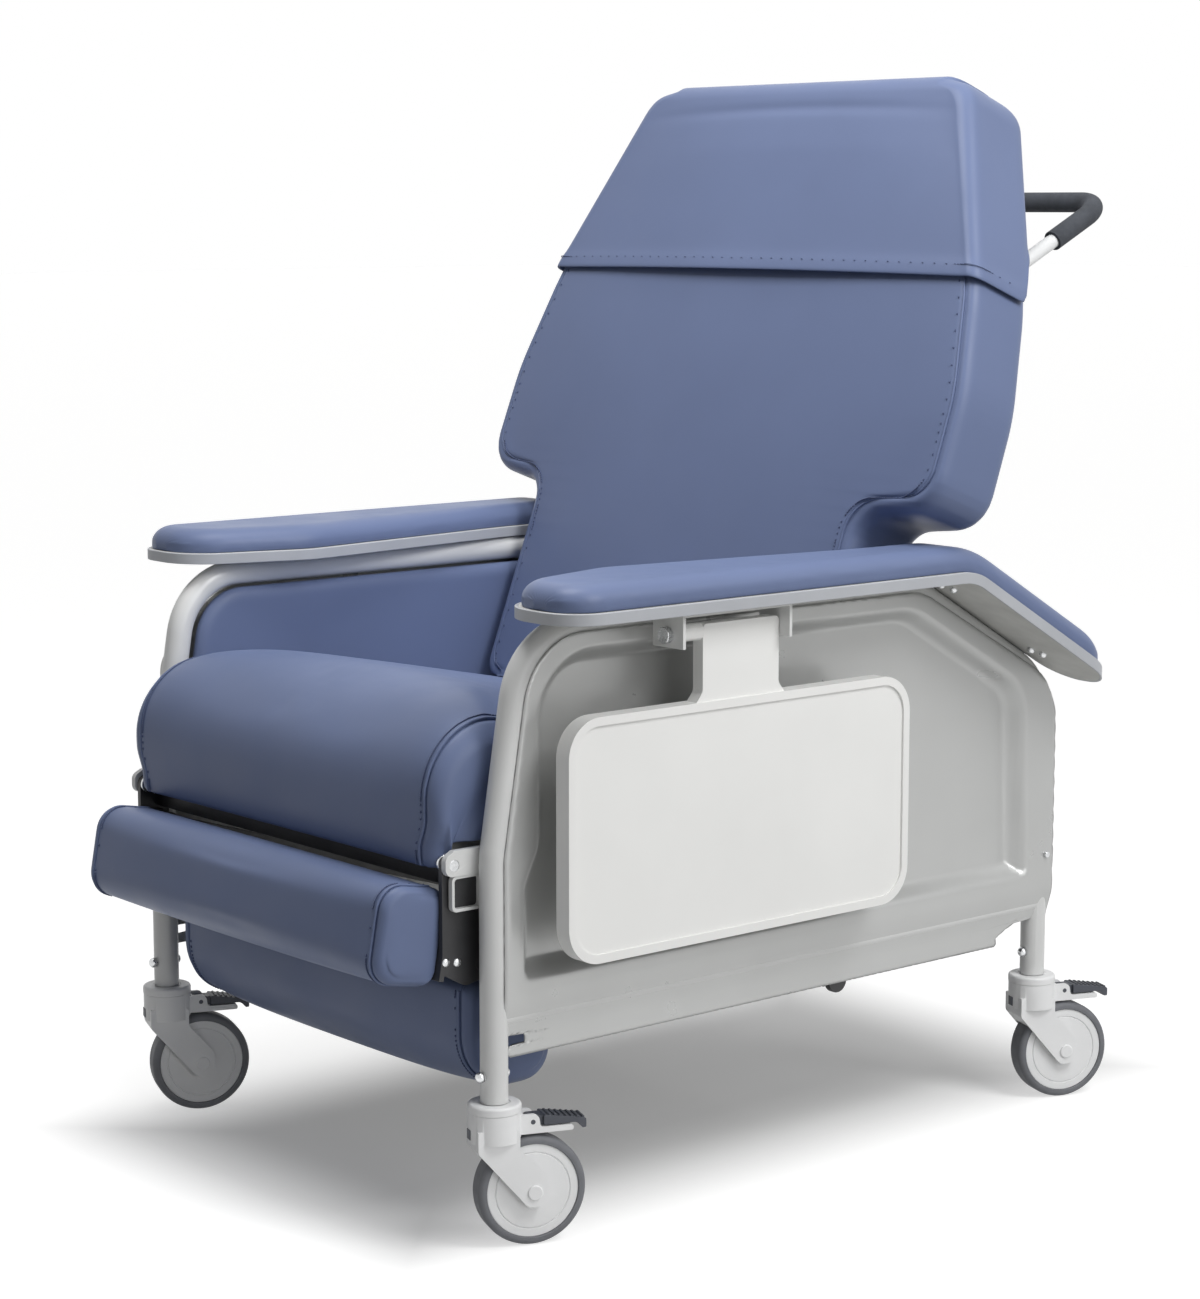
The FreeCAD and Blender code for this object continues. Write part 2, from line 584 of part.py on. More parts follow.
def arm_layer(name, side, inset, low, high):
    """A layer of the arm between two heights, cut to the plan outline."""
    below = arm_line(low)
    above = arm_line(high)
    bend = v.arm_bend_radius
    profile = [below[0], (below[1][0], below[1][1], bend), below[2],
               above[2], (above[1][0], above[1][1], bend + high - low), above[0]]
    band = padded(name + "_band", "YZ_Plane", rounded(profile), "-arm_outer_x - 5", "2 * arm_outer_x + 10")
    plan = [(side * corner[0],) + tuple(corner[1:]) for corner in arm_plan(inset)]
    column = padded(name + "_plan", "XY_Plane", rounded(plan), "rail_z - 400", "600")
    layer = doc.addObject("Part::Common", name + "_layer")
    layer.Base = band
    layer.Tool = column
    return layer


def arm(name, side):
    low = v.tube_dia / 2 + v.seat_gap
    high = low + v.arm_board_thick
    board = arm_layer("arm_board_" + name, side, v.trim_thick, low, high)
    node(board, "arm_board_" + name)
    rim = arm_layer("arm_rim_" + name, side, 0, low, high)
    core = arm_layer("arm_core_" + name, side, v.trim_thick, low - 5, high + 5)
    node(cut("arm_trim_" + name, rim, core), "arm_trim_" + name)
    pad_low = high + v.seat_gap
    pad = arm_layer("arm_pad_" + name, side, v.arm_pad_inset, pad_low, pad_low + v.arm_pad_thick)
    doc.recompute()
    crown = [edge for edge in pad.Shape.Edges if above_arm(edge, pad_low + v.arm_pad_thick)]
    soft = pad.Shape.makeFillet(v.arm_pad_thick * 0.6, crown)
    node(feature("arm_cushion_" + name, soft), "arm_pad_" + name)


def above_arm(edge, height):
    """True for an edge that lies on the arm's surface at a height, all the way round it."""
    points = edge.discretize(7)
    line = arm_line(height)
    slope = math.radians(v.arm_slope)
    radius = v.arm_bend_radius + v.arm_pad_thick
    reach = radius * math.tan(slope / 2)

    def lies(point):
        run = point.y - line[1][0]
        if abs(run) < reach:
            return point.z < line[1][1] + 0.01 and point.z > line[1][1] - reach * math.sin(slope) - 4
        drop = max(0, run) * math.tan(slope)
        return abs(point.z - line[1][1] + drop) < 0.01

    across = max(point.x for point in points) - min(point.x for point in points)
    flat_crossing = across > 40 and max(p.y for p in points) - min(p.y for p in points) < 0.01
    return all(lies(point) for point in points) and not flat_crossing


for name, side in SIDES:
    side_frame(name, side)
    side_panel(name, side)
    inner_panel(name, side)
    arm(name, side)


# side trays: a rimmed board that hangs from a pin under the arm and swings up

def side_tray(name, side):
    rear = v.tray_front_y + v.tray_length
    top = v.tray_bottom_z + v.tray_height
    neck_rear = v.neck_front_y + v.neck_width
    board = side_plate("tray_board_" + name, side, [
        (v.tray_front_y, v.tray_bottom_z, v.tray_corner), (rear, v.tray_bottom_z, v.tray_corner),
        (rear, top, v.tray_corner), (v.tray_front_y, top, v.tray_corner)],
        "tray_outer_x - tray_thick", "tray_thick")
    field = side_plate("tray_field_" + name, side, [
        (v.tray_front_y + v.tray_rim, v.tray_bottom_z + v.tray_rim, v.tray_corner - v.tray_rim),
        (rear - v.tray_rim, v.tray_bottom_z + v.tray_rim, v.tray_corner - v.tray_rim),
        (rear - v.tray_rim, top - v.tray_rim, v.tray_corner - v.tray_rim),
        (v.tray_front_y + v.tray_rim, top - v.tray_rim, v.tray_corner - v.tray_rim)],
        "tray_outer_x - tray_sink", "tray_sink + 1")
    neck = side_plate("tray_neck_" + name, side, [
        (v.neck_front_y - 12, top - 4), (neck_rear + 12, top - 4), (neck_rear, top + 10, 10),
        (neck_rear, v.tray_pivot_z + 8, 5), (v.neck_front_y, v.tray_pivot_z + 8, 5),
        (v.neck_front_y, top + 10, 10)],
        "tray_outer_x - tray_thick / 2 - neck_thick / 2", "neck_thick")
    sleeve = rod("tray_sleeve_" + name, "y", "%d * (tray_outer_x - tray_thick / 2)" % side,
                 "bracket_front_y + bracket_plate + 0.5", "tray_pivot_z", "tray_pin_dia + 8",
                 "neck_front_y - bracket_front_y - bracket_plate")
    bore = rod("tray_bore_" + name, "y", "%d * (tray_outer_x - tray_thick / 2)" % side,
               "bracket_front_y", "tray_pivot_z", "tray_pin_dia + 2 * fit", "300")
    whole = cut("tray_" + name, fuse("tray_shell_" + name, board, neck, sleeve), field, bore)
    node(whole, "tray_" + name)


def tray_bracket(name, side):
    low_x = "%s - bracket_width / 2" % ("(tray_outer_x - tray_thick / 2)" if side == LEFT
                                        else "-(tray_outer_x - tray_thick / 2)")
    top = block("bracket_top_" + name, low_x, "bracket_front_y",
                "rail_z + tube_dia / 2 + seat_gap - bracket_plate", "bracket_width",
                "neck_front_y + neck_width + 0.5 + bracket_plate - bracket_front_y", "bracket_plate")
    ears = []
    for ear, y in (("front", "bracket_front_y"), ("rear", "neck_front_y + neck_width + 0.5")):
        ears.append(block("bracket_%s_%s" % (ear, name), low_x, y, "tray_pivot_z - tray_pin_dia - 3",
                          "bracket_width", "bracket_plate",
                          "rail_z + tube_dia / 2 + seat_gap - tray_pivot_z + tray_pin_dia + 3"))
    hole = rod("bracket_hole_" + name, "y", "%d * (tray_outer_x - tray_thick / 2)" % side,
               "bracket_front_y - 1", "tray_pivot_z", "tray_pin_dia", "300")
    node(cut("tray_bracket_" + name, fuse("bracket_shell_" + name, top, *ears), hole),
         "tray_bracket_" + name)
    shank = rod("tray_shank_" + name, "y", "%d * (tray_outer_x - tray_thick / 2)" % side,
                "bracket_front_y", "tray_pivot_z", "tray_pin_dia",
                "neck_front_y + neck_width + 0.5 + bracket_plate - bracket_front_y")
    head = rod("tray_head_" + name, "y", "%d * (tray_outer_x - tray_thick / 2)" % side,
               "bracket_front_y - 7", "tray_pivot_z", "tray_pin_dia + 7", "7")
    node(fuse("tray_pin_" + name, shank, head), "tray_pin_" + name)


for name, side in SIDES:
    side_tray(name, side)
    tray_bracket(name, side)


# seat: cross rails between the side frames, a deck and a crowned cushion with a waterfall front

def front_rail():
    reach = "leg_x - tube_dia / 2 + tube_wall / 2 - lug_thick - seat_gap"
    top = "seat_base_z - deck_thick - 2 * seat_gap"
    outer = block("front_rail_outer", "-(%s)" % reach, "front_rail_y - front_rail_deep / 2",
                  "%s - front_rail_tall" % top, "2 * (%s)" % reach, "front_rail_deep", "front_rail_tall")
    hollow = block("front_rail_hollow", "-leg_x", "front_rail_y - front_rail_deep / 2 + rail_wall",
                   "%s - front_rail_tall + rail_wall" % top, "2 * leg_x",
                   "front_rail_deep - 2 * rail_wall", "front_rail_tall - 2 * rail_wall")
    node(cut("front_rail", outer, hollow), "front_rail")


def rear_rail():
    reach = "leg_x - side_rail_dia / 2 - seat_gap"
    low = "side_rail_z - rear_rail_size / 2"
    pieces = [block("rear_rail_bar", "-(%s)" % reach, "rear_rail_y - rear_rail_size / 2", low,
                    "2 * (%s)" % reach, "rear_rail_size", "rear_rail_size")]
    for name, side in SIDES:
        pieces.append(block("seat_post_" + name, "%d * 200 - 10" % side, "rear_rail_y - rear_rail_size / 2",
                            "side_rail_z", "20", "20",
                            "seat_base_z - deck_thick - 2 * seat_gap - side_rail_z"))
        base = v.side_rail_z - v.rear_rail_size / 2
        pieces.append(side_plate("pivot_lug_" + name, side, [
            (v.rear_rail_y - v.rear_rail_size / 2 + 2, base + 4),
            (v.rear_rail_y + v.rear_rail_size / 2 - 2, base + 4),
            (v.rear_rail_y + v.rear_rail_size / 2 - 2, base + v.rear_rail_size),
            (v.pivot_y + 16, v.pivot_z + 16, 14), (v.pivot_y - 16, v.pivot_z + 16, 14),
            (v.pivot_y - 16, v.pivot_z - 16, 14)],
            "post_x - post_plate - 2 - seat_gap", "post_plate"))
    bar = fuse("rear_rail_shell", *pieces)
    hole = rod("pivot_hole", "x", "-leg_x", "pivot_y", "pivot_z", "pivot_pin_dia", "2 * leg_x")
    node(cut("rear_rail", bar, hole), "rear_rail")


def stations(half):
    """Places across a cushion, closer together towards its two ends."""
    steps = 8
    return [half * math.sin(math.pi / 2 * step / steps) for step in range(-steps, steps + 1)]


def soft_edge(x, half, draw, crown):
    """How far a cushion is drawn in, and how far it is crowned, at a place across it."""
    share = abs(x) / half
    return draw * share ** 12, crown * (1 - share ** 3)


def seat_section(x, inset, crown):
    """A slice of the seat, whose top also falls away towards its two ends."""
    crown -= v.seat_end_drop * (abs(x) / v.seat_wide) ** 10
    front = v.seat_front_y + inset
    rear = v.seat_rear_y - inset
    lip_rear = v.seat_front_y + v.seat_lip_thick
    return side_wire([
        (front + 4, v.seat_lip_z + inset / 2, 7), (front, v.seat_front_z + crown, v.seat_roll),
        (rear, v.seat_rear_z + crown / 4, 12), (rear, v.seat_base_z, 4),
        (lip_rear, v.seat_base_z, 3), (lip_rear, v.seat_lip_z + inset / 2, 6)], x)


def seat():
    node(block("seat_deck", "-deck_half", "seat_front_y + seat_lip_thick + 2",
               "seat_base_z - deck_thick - seat_gap", "2 * deck_half",
               "seat_rear_y - seat_front_y - seat_lip_thick - 2", "deck_thick"), "seat_deck")
    cushion = loft([seat_section(x, *soft_edge(x, v.seat_wide, v.seat_draw, v.seat_crown))
                    for x in stations(v.seat_wide)])
    length = v.seat_rear_y - v.seat_front_y
    for side in (LEFT, RIGHT):
        edge = side * v.seat_half - (2 * v.seat_flare if side == RIGHT else 0)
        lip_end = Part.makeBox(2 * v.seat_flare, length, v.seat_base_z + v.seat_gap - v.seat_lip_z,
                               Vector(edge, v.seat_front_y, v.seat_lip_z))
        post_room = Part.makeBox(2 * v.seat_flare, length, length,
                                 Vector(edge, v.seat_flare_rear_y, v.seat_lip_z))
        cushion = cushion.cut([lip_end, post_room])
    node(feature("seat_cushion", cushion.removeSplitter()), "seat_cushion")


front_rail()
rear_rail()
seat()


# back: worked out in its own leaning frame, where Z runs up the cushion and Y runs to the rear

def back_frame_of_reference():
    return Placement(Vector(0, v.back_foot_y, v.back_foot_z), Rotation(Vector(1, 0, 0), -v.back_tilt))


def back_outline(inset, depth):
    """The back's outline across and up, on a plane at a depth behind the front face."""
    rise = inset * (v.shoulder_height - v.wing_height) / v.shoulder_run
    half = [(v.tongue_half - inset, inset - v.tongue_drop, v.tongue_radius),
            (v.tongue_half - inset, v.notch_height + rise, v.notch_radius + inset / 2),
            (v.wing_half - inset, v.wing_height + rise, v.wing_radius - inset / 3),
            (v.shoulder_half - inset, v.shoulder_height, v.shoulder_radius),
            (v.hem_half - inset, v.hem_height, v.hem_radius),
            (v.back_top_half - inset, v.back_height - inset, v.top_radius - inset / 2)]
    mirrored = [(-corner[0],) + corner[1:] for corner in reversed(half)]
    wire = wire_of(rounded(half + mirrored))
    upright = Rotation(Vector(1, 0, 0), Vector(0, 0, 1), Vector(0, -1, 0))
    return placed(wire, Placement(Vector(0, depth, 0), upright))


def back_body(grow):
    """The cushion's body, grown all round by a clearance: a crowned front and drawn-in edges."""
    thick = v.back_thick
    rim = v.back_rim
    layers = [(v.crown_reach, -v.back_crown - grow), (v.crown_reach / 2, -0.8 * v.back_crown - grow)]
    steps = 4
    for step in range(steps + 1):
        turn = math.pi / 2 * step / steps
        layers.append((v.back_draw * (1 - math.sin(turn)) - grow, rim * (1 - math.cos(turn)) - grow))
    for step in range(steps + 1):
        turn = math.pi / 2 * step / steps
        layers.append((v.back_draw * (1 - math.cos(turn)) - grow, thick - rim * (1 - math.sin(turn)) + grow))
    return loft([back_outline(inset, depth) for inset, depth in layers])


def back_rest():
    lean = back_frame_of_reference()
    room = 400
    left_end = -1.5 * room
    over_seat = Placement(Vector(0, 0, v.back_clear_z), Rotation(Vector(1, 0, 0), -v.back_clear_slope))
    floor = placed(Part.makeBox(3 * room, 2 * room, room, Vector(left_end, -room, -room)), over_seat)
    cushion = placed(back_body(0), lean).cut(floor)
    node(feature("back_cushion", cushion), "back_cushion")
    front_part = Part.makeBox(3 * room, room, room, Vector(left_end, v.hood_side_depth - room, v.hem_height))
    rear_part = Part.makeBox(3 * room, room, room, Vector(left_end, v.hood_side_depth - 1, v.hood_rear_hem))
    sleeve = back_body(v.hood_thick + v.seat_gap).cut(back_body(v.seat_gap))
    sleeve = sleeve.common(front_part.fuse(rear_part))
    node(feature("headrest_cover", placed(sleeve, lean)), "headrest_cover")


def leaning(x, depth, height):
    """A point of the leaning frame in the chair's frame."""
    return back_frame_of_reference().multVec(Vector(x, depth, height))


def side_point(depth, height, radius=0):
    point = leaning(0, depth, height)
    return (point.y, point.z, radius)


def back_frame():
    near = v.back_thick + v.seat_gap
    far = near + v.frame_bar
    half = v.board_half
    upright = Rotation(Vector(1, 0, 0), Vector(0, 0, 1), Vector(0, -1, 0))
    sheet_wire = wire_of(rounded([(-half, v.board_low, 20), (half, v.board_low, 20),
                                  (half - 40, v.board_high, 30), (-half + 40, v.board_high, 30)]))
    board = Part.Face(placed(sheet_wire, Placement(Vector(0, near, 0), upright)))
    board = board.extrude(Vector(0, v.board_thick, 0))
    reach = v.post_x + v.post_plate
    bar = Part.makeBox(2 * reach, v.frame_bar, 30, Vector(-reach, near, v.board_low))
    frame = placed(board.fuse(bar), back_frame_of_reference())
    crank_z = v.pivot_z - v.crank_drop
    plates = []
    for side in (LEFT, RIGHT):
        outline = side_wire([
            (v.pivot_y - 13, crank_z - 13, 13), (v.pivot_y + 13, crank_z - 13, 13),
            (v.pivot_y + 18, v.pivot_z, 30), side_point(far, 40, 6), side_point(far, 140, 10),
            side_point(near, 140, 6), side_point(near, 40, 20), (v.pivot_y - 18, v.pivot_z, 30)],
            side * v.post_x)
        plates.append(Part.Face(outline).extrude(Vector(side * v.post_plate, 0, 0)))
        plates.append(Part.makeCylinder(v.link_pin_dia / 2, v.post_x - v.link_x + 2,
                                        Vector(side * (v.post_x + 2), v.pivot_y, crank_z),
                                        Vector(-side, 0, 0)))
    bore = Part.makeCylinder(v.pivot_pin_dia / 2 + v.fit, 4 * v.leg_x,
                             Vector(-2 * v.leg_x, v.pivot_y, v.pivot_z), Vector(1, 0, 0))
    whole = frame.fuse(plates).cut(bore)
    node(feature("back_frame", whole.removeSplitter()), "back_frame")
    pins = []
    for name, side in SIDES:
        inner = "post_x - post_plate - 2 - seat_gap"
        outer = "post_x + post_plate + 3"
        start = inner if side == LEFT else "-(%s)" % outer
        shank = rod("pivot_shank_" + name, "x", start, "pivot_y", "pivot_z", "pivot_pin_dia",
                    "2 * post_plate + 5 + seat_gap")
        cap_start = "post_x + post_plate + 0.5" if side == LEFT else "-(post_x + post_plate + 3.5)"
        cap = rod("pivot_cap_" + name, "x", cap_start, "pivot_y", "pivot_z", "pivot_pin_dia + 8", "3")
        pins.append(fuse("pivot_pin_" + name, shank, cap))
    group = doc.addObject("Part::Compound", "back_pivot_pins")
    group.Links = pins
    node(group, "back_pivot_pins")


def push_bar():
    root = Vector(v.push_half, v.push_root_y, v.push_root_z)
    corner = Vector(v.push_half, v.push_rear_y, v.push_z)
    points = [root, corner, Vector(-corner.x, corner.y, corner.z), Vector(-root.x, root.y, root.z)]
    radii = [0, v.push_bend, v.push_bend, 0]
    bar = tube(points, radii, v.push_dia)
    board_rear = v.back_thick + 2 * v.seat_gap + v.board_thick
    inside = Part.makeBox(1000, 400, 1000, Vector(-500, board_rear - 400, 0))
    inside.Placement = back_frame_of_reference()
    node(feature("push_bar", bar.cut(inside)), "push_bar")
    share = (v.grip_front_y - v.push_root_y) / (v.push_rear_y - v.push_root_y)
    start = root + (corner - root) * share
    grip_points = [start, points[1], points[2], Vector(-start.x, start.y, start.z)]
    grip = tube(grip_points, radii, v.grip_dia, v.push_dia + 2 * v.fit)
    node(feature("push_grip", grip), "push_grip")


back_rest()
back_frame()
push_bar()


# leg rest: a frame that swings up from the front legs, a calf pad, and a foot pad on swinging links

def legrest_frame():
    plates = []
    crank = (v.leg_pivot_y + v.leg_crank_back, v.leg_pivot_z - v.leg_crank_drop)
    for side in (LEFT, RIGHT):
        outline = side_wire([
            (v.leg_pivot_y - 9, v.leg_pivot_z + 9, 9), (v.leg_pivot_y + 9, v.leg_pivot_z + 9, 9),
            (v.leg_pivot_y + 9, crank[1] + 11, 6), (crank[0] + 11, crank[1] + 10, 9),
            (v.foot_shaft_y + 13, v.foot_shaft_z + 13, 10), (v.foot_shaft_y + 13, v.foot_shaft_z - 13, 12),
            (v.foot_shaft_y - 20, v.foot_shaft_z - 20, 12), (v.leg_pivot_y - 9, v.foot_shaft_z - 4, 8)],
            side * v.leg_arm_x)
        plates.append(Part.Face(outline).extrude(Vector(side * v.leg_arm_thick, 0, 0)))
        plates.append(Part.makeCylinder(v.link_pin_dia / 2, v.leg_arm_x - v.link_x - v.link_thick + 1,
                                        Vector(side * (v.leg_arm_x + 2), crank[0], crank[1]),
                                        Vector(-side, 0, 0)))
    outer = v.leg_arm_x + v.leg_arm_thick
    board = Part.makeBox(2 * outer, v.leg_board_thick, v.leg_board_tall,
                         Vector(-outer, v.calf_deep / 2 + v.seat_gap, v.leg_board_low))
    board = placed(board, calf_plane())
    bores = [Part.makeCylinder(diameter / 2 + v.fit, 4 * v.leg_x, Vector(-2 * v.leg_x, y, z), Vector(1, 0, 0))
             for diameter, y, z in ((v.leg_pin_dia, v.leg_pivot_y, v.leg_pivot_z),
                                    (v.foot_shaft_dia, v.foot_shaft_y, v.foot_shaft_z))]
    whole = board.fuse(plates).cut(bores)
    node(feature("legrest_frame", whole.removeSplitter()), "legrest_frame")
    pins = []
    for name, side in SIDES:
        inner = "leg_arm_x - 3"
        outer_end = "leg_x - tube_dia / 2 + tube_wall / 2"
        start = inner if side == LEFT else "-(%s)" % outer_end
        shank = rod("leg_shank_" + name, "x", start, "leg_pivot_y", "leg_pivot_z", "leg_pin_dia",
                    "%s - (%s)" % (outer_end, inner))
        cap = rod("leg_cap_" + name, "x", "leg_arm_x - 3.5" if side == LEFT else "-(leg_arm_x - 0.5)",
                  "leg_pivot_y", "leg_pivot_z", "leg_pin_dia + 6", "3")
        pins.append(fuse("leg_pin_" + name, shank, cap))
    group = doc.addObject("Part::Compound", "legrest_pins")
    group.Links = pins
    node(group, "legrest_pins")


def calf_plane():
    """The calf pad's own frame: its middle, leaning with its lower edge to the front."""
    return Placement(Vector(0, v.calf_y, v.calf_z), Rotation(Vector(1, 0, 0), -v.calf_tilt))


def calf_section(x, inset, crown):
    rear = v.calf_deep / 2
    front = v.calf_crown + inset - crown - v.calf_deep / 2
    top = v.calf_tall / 2 - inset
    return placed(side_wire([(rear, top, v.calf_rear_radius), (front, top, v.calf_front_radius),
                             (front, -top, v.calf_front_radius), (rear, -top, v.calf_rear_radius)], x),
                  calf_plane())


def calf_pad():
    pad = loft([calf_section(x, *soft_edge(x, v.calf_half, v.calf_draw, v.calf_crown))
                for x in stations(v.calf_half)])
    node(feature("calf_pad", pad), "calf_pad")


def foot_section(x):
    share = x / v.foot_half
    inset = soft_edge(x, v.foot_half, v.foot_draw, 0)[0]
    bottom = v.foot_bottom_z + v.foot_end_rise * share ** 4 + inset
    front = v.foot_front_y + inset
    rear = v.foot_rear_y - inset
    top = v.foot_top_z - inset
    return side_wire([(front, top, v.foot_top_radius), (front, bottom, v.foot_toe_radius),
                      (rear, bottom, v.foot_heel_radius), (rear, top, v.foot_top_radius)], x)


def foot_pad():
    link_end = (v.foot_shaft_y + v.foot_link_step, v.foot_shaft_z - v.foot_link_step)
    pad = loft([foot_section(x) for x in stations(v.foot_half)])
    bore = Part.makeCylinder(v.link_pin_dia / 2 + v.fit, 4 * v.leg_x,
                             Vector(-2 * v.leg_x, link_end[0], link_end[1]), Vector(1, 0, 0))
    core = Part.makeCylinder(v.link_pin_dia, 2 * v.foot_half - 60,
                             Vector(-v.foot_half + 30, link_end[0], link_end[1]), Vector(1, 0, 0))
    node(feature("foot_pad", pad.cut(bore.cut(core))), "foot_pad")
    links = [Part.makeCylinder(v.foot_shaft_dia / 2, 2 * (v.leg_arm_x + v.leg_arm_thick),
                               Vector(-v.leg_arm_x - v.leg_arm_thick, v.foot_shaft_y, v.foot_shaft_z),
                               Vector(1, 0, 0))]
    for side in (LEFT, RIGHT):
        outline = side_wire([
            (v.foot_shaft_y - 14, v.foot_shaft_z, 8), (v.foot_shaft_y, v.foot_shaft_z + 14, 8),
            (link_end[0] + 12, link_end[1], 7), (link_end[0], link_end[1] - 12, 7)],
            side * v.foot_link_x)
        links.append(Part.Face(outline).extrude(Vector(side * v.foot_link_thick, 0, 0)))
        links.append(Part.makeCylinder(v.link_pin_dia / 2, 24,
                                       Vector(side * (v.foot_link_x + 2), link_end[0], link_end[1]),
                                       Vector(-side, 0, 0)))
    node(feature("foot_frame", links[0].fuse(links[1:]).removeSplitter()), "foot_frame")


def recline_link(name, side):
    rear = (v.pivot_y, v.pivot_z - v.crank_drop)
    front = (v.leg_pivot_y + v.leg_crank_back, v.leg_pivot_z - v.leg_crank_drop)
    length = math.hypot(front[0] - rear[0], front[1] - rear[1])
    lean = math.degrees(math.atan2(front[1] - rear[1], rear[0] - front[0]))
    bar = Part.makeBox(v.link_thick, length, v.link_tall, Vector(0, -length, -v.link_tall / 2))
    for y in (0, -length):
        eye = Part.makeCylinder(v.link_eye_dia / 2, v.link_thick, Vector(0, y, 0), Vector(1, 0, 0))
        bar = bar.fuse(eye)
    for y in (0, -length):
        hole = Part.makeCylinder(v.link_pin_dia / 2 + v.fit, v.link_thick, Vector(0, y, 0), Vector(1, 0, 0))
        bar = bar.cut(hole)
    link = feature("recline_link_" + name, bar.removeSplitter())
    start = v.link_x if side == LEFT else -v.link_x - v.link_thick
    link.Placement = Placement(Vector(start, rear[0], rear[1]), Rotation(Vector(1, 0, 0), -lean))
    node(link, "recline_link_" + name)


legrest_frame()
calf_pad()
foot_pad()
for name, side in SIDES:
    recline_link(name, side)


# fasteners: dome bolts that hold the castor stems and screws under the arms

def fasteners():
    bolts = []
    for name, side, leg_y in CASTORS:
        bolts.append(rod("dome_bolt_" + name, "y", "%d * leg_x" % side,
                         "%s - tube_dia / 2 - seat_gap - bolt_head" % leg_y,
                         "collar_top + bolt_rise", "bolt_dia", "bolt_head"))
    for name, side in SIDES:
        plane = "leg_x + tube_dia / 2 + seat_gap + panel_thick"
        start = plane if side == LEFT else "-(%s) - bolt_head" % plane
        bolts.append(rod("panel_screw_" + name, "x", start, "rear_leg_y", "panel_ridge_z + 24",
                         "bolt_dia - 4", "bolt_head"))
    group = doc.addObject("Part::Compound", "frame_bolts")
    group.Links = bolts
    node(group, "frame_bolts")


fasteners()

doc.recompute()
os.makedirs("parts", exist_ok=True)
bad = [item.Label for item in doc.Objects if "Invalid" in item.State or "Error" in item.State]
bad += [piece.Label for piece in nodes if piece.Shape.isNull() or not piece.Shape.isValid()]
if bad:
    raise SystemExit("bad pieces: " + ", ".join(bad))
for piece in nodes:
    piece.Shape.exportStep("parts/%s.step" % piece.Label)
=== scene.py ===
import bmesh
import bpy
import json
import math
import numpy as np
from mathutils import Matrix, Vector


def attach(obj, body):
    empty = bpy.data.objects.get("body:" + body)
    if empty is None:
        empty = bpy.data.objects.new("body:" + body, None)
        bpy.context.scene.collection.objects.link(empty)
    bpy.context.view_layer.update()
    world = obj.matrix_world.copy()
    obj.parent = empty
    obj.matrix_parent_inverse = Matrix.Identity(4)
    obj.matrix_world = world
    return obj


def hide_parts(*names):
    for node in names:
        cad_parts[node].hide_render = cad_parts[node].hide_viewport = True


# Looks of a clinical recliner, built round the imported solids. Lengths are millimetres until
# mesh_from() turns them into metres; points read back from a mesh are metres.
# +X is the sitter's left, the chair faces -Y.

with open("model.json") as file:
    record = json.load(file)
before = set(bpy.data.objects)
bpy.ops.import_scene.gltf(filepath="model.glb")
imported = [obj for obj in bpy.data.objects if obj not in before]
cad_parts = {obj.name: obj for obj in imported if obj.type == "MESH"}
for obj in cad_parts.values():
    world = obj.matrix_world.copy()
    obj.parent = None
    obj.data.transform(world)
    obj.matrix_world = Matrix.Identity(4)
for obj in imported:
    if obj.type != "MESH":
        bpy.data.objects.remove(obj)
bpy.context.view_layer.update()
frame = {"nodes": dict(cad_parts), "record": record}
MM = 0.001
TINY = 1e-9
LEFT = 1
RIGHT = -1
SIDES = (("left", LEFT), ("right", RIGHT))

# sizes of the solids that several pieces follow

LEG_X = 306
LEG_FRONT = -443
LEG_REAR = 361
CORNERS = (("front_left", LEG_X, LEG_FRONT), ("front_right", -LEG_X, LEG_FRONT),
           ("rear_left", LEG_X, LEG_REAR), ("rear_right", -LEG_X, LEG_REAR))
TUBE_RADIUS = 14.3
CLEAR = 0.3
RAIL = 622.5
ARM_BEND = 149
SLOPE = math.radians(30)
REAR_CORNER = RAIL - (LEG_REAR - ARM_BEND) * math.tan(SLOPE)
PANEL_DISH = 20

# camera, light and floor

CAMERA_AT = (2.6351, -2.2738, 1.0417)
CAMERA_FORWARD = (-0.7554, 0.6390, -0.1444)
CAMERA_LENS = 84.23
SENSOR = 36.0
WHITE = (1, 1, 1, 1)
WORLD_LIGHT = 0.13
FLOOR_REACH = 40
FLOOR_COLOUR = (0.55, 0.55, 0.545, 1)
FLOOR_FADE = (0.0, 0.26, 0.2, 0.8)
FOOTPRINT = (0.15, 0.4)


def aimed(name, data, at, towards):
    """Puts a camera or a lamp into the scene, looking along a direction."""
    made = bpy.data.objects.new(name, data)
    made.location = at
    made.rotation_mode = "QUATERNION"
    made.rotation_quaternion = Vector(towards).to_track_quat("-Z", "Y")
    bpy.context.scene.collection.objects.link(made)
    return made


def camera():
    data = bpy.data.cameras.new("photo_camera")
    data.sensor_width = SENSOR
    data.sensor_height = SENSOR
    data.sensor_fit = "AUTO"
    data.lens = CAMERA_LENS
    data.clip_end = 100
    bpy.context.scene.camera = aimed("photo_camera", data, CAMERA_AT, CAMERA_FORWARD)


def sun(name, towards, strength, spread):
    data = bpy.data.lights.new(name, "SUN")
    data.energy = strength
    data.angle = math.radians(spread)
    aimed(name, data, (0, 0, 0), towards)


def softbox(name, place, towards, size, power):
    data = bpy.data.lights.new(name, "AREA")
    data.shape = "SQUARE"
    data.size = size
    data.energy = power
    aimed(name, data, place, Vector(towards) - Vector(place)).visible_camera = False


def math_node(tree, operation, *sources):
    """A math node fed by sockets and numbers."""
    node = tree.nodes.new("ShaderNodeMath")
    node.operation = operation
    for place, source in zip(node.inputs, sources):
        if isinstance(source, bpy.types.NodeSocket):
            tree.links.new(source, place)
        else:
            place.default_value = source
    return node.outputs[0]


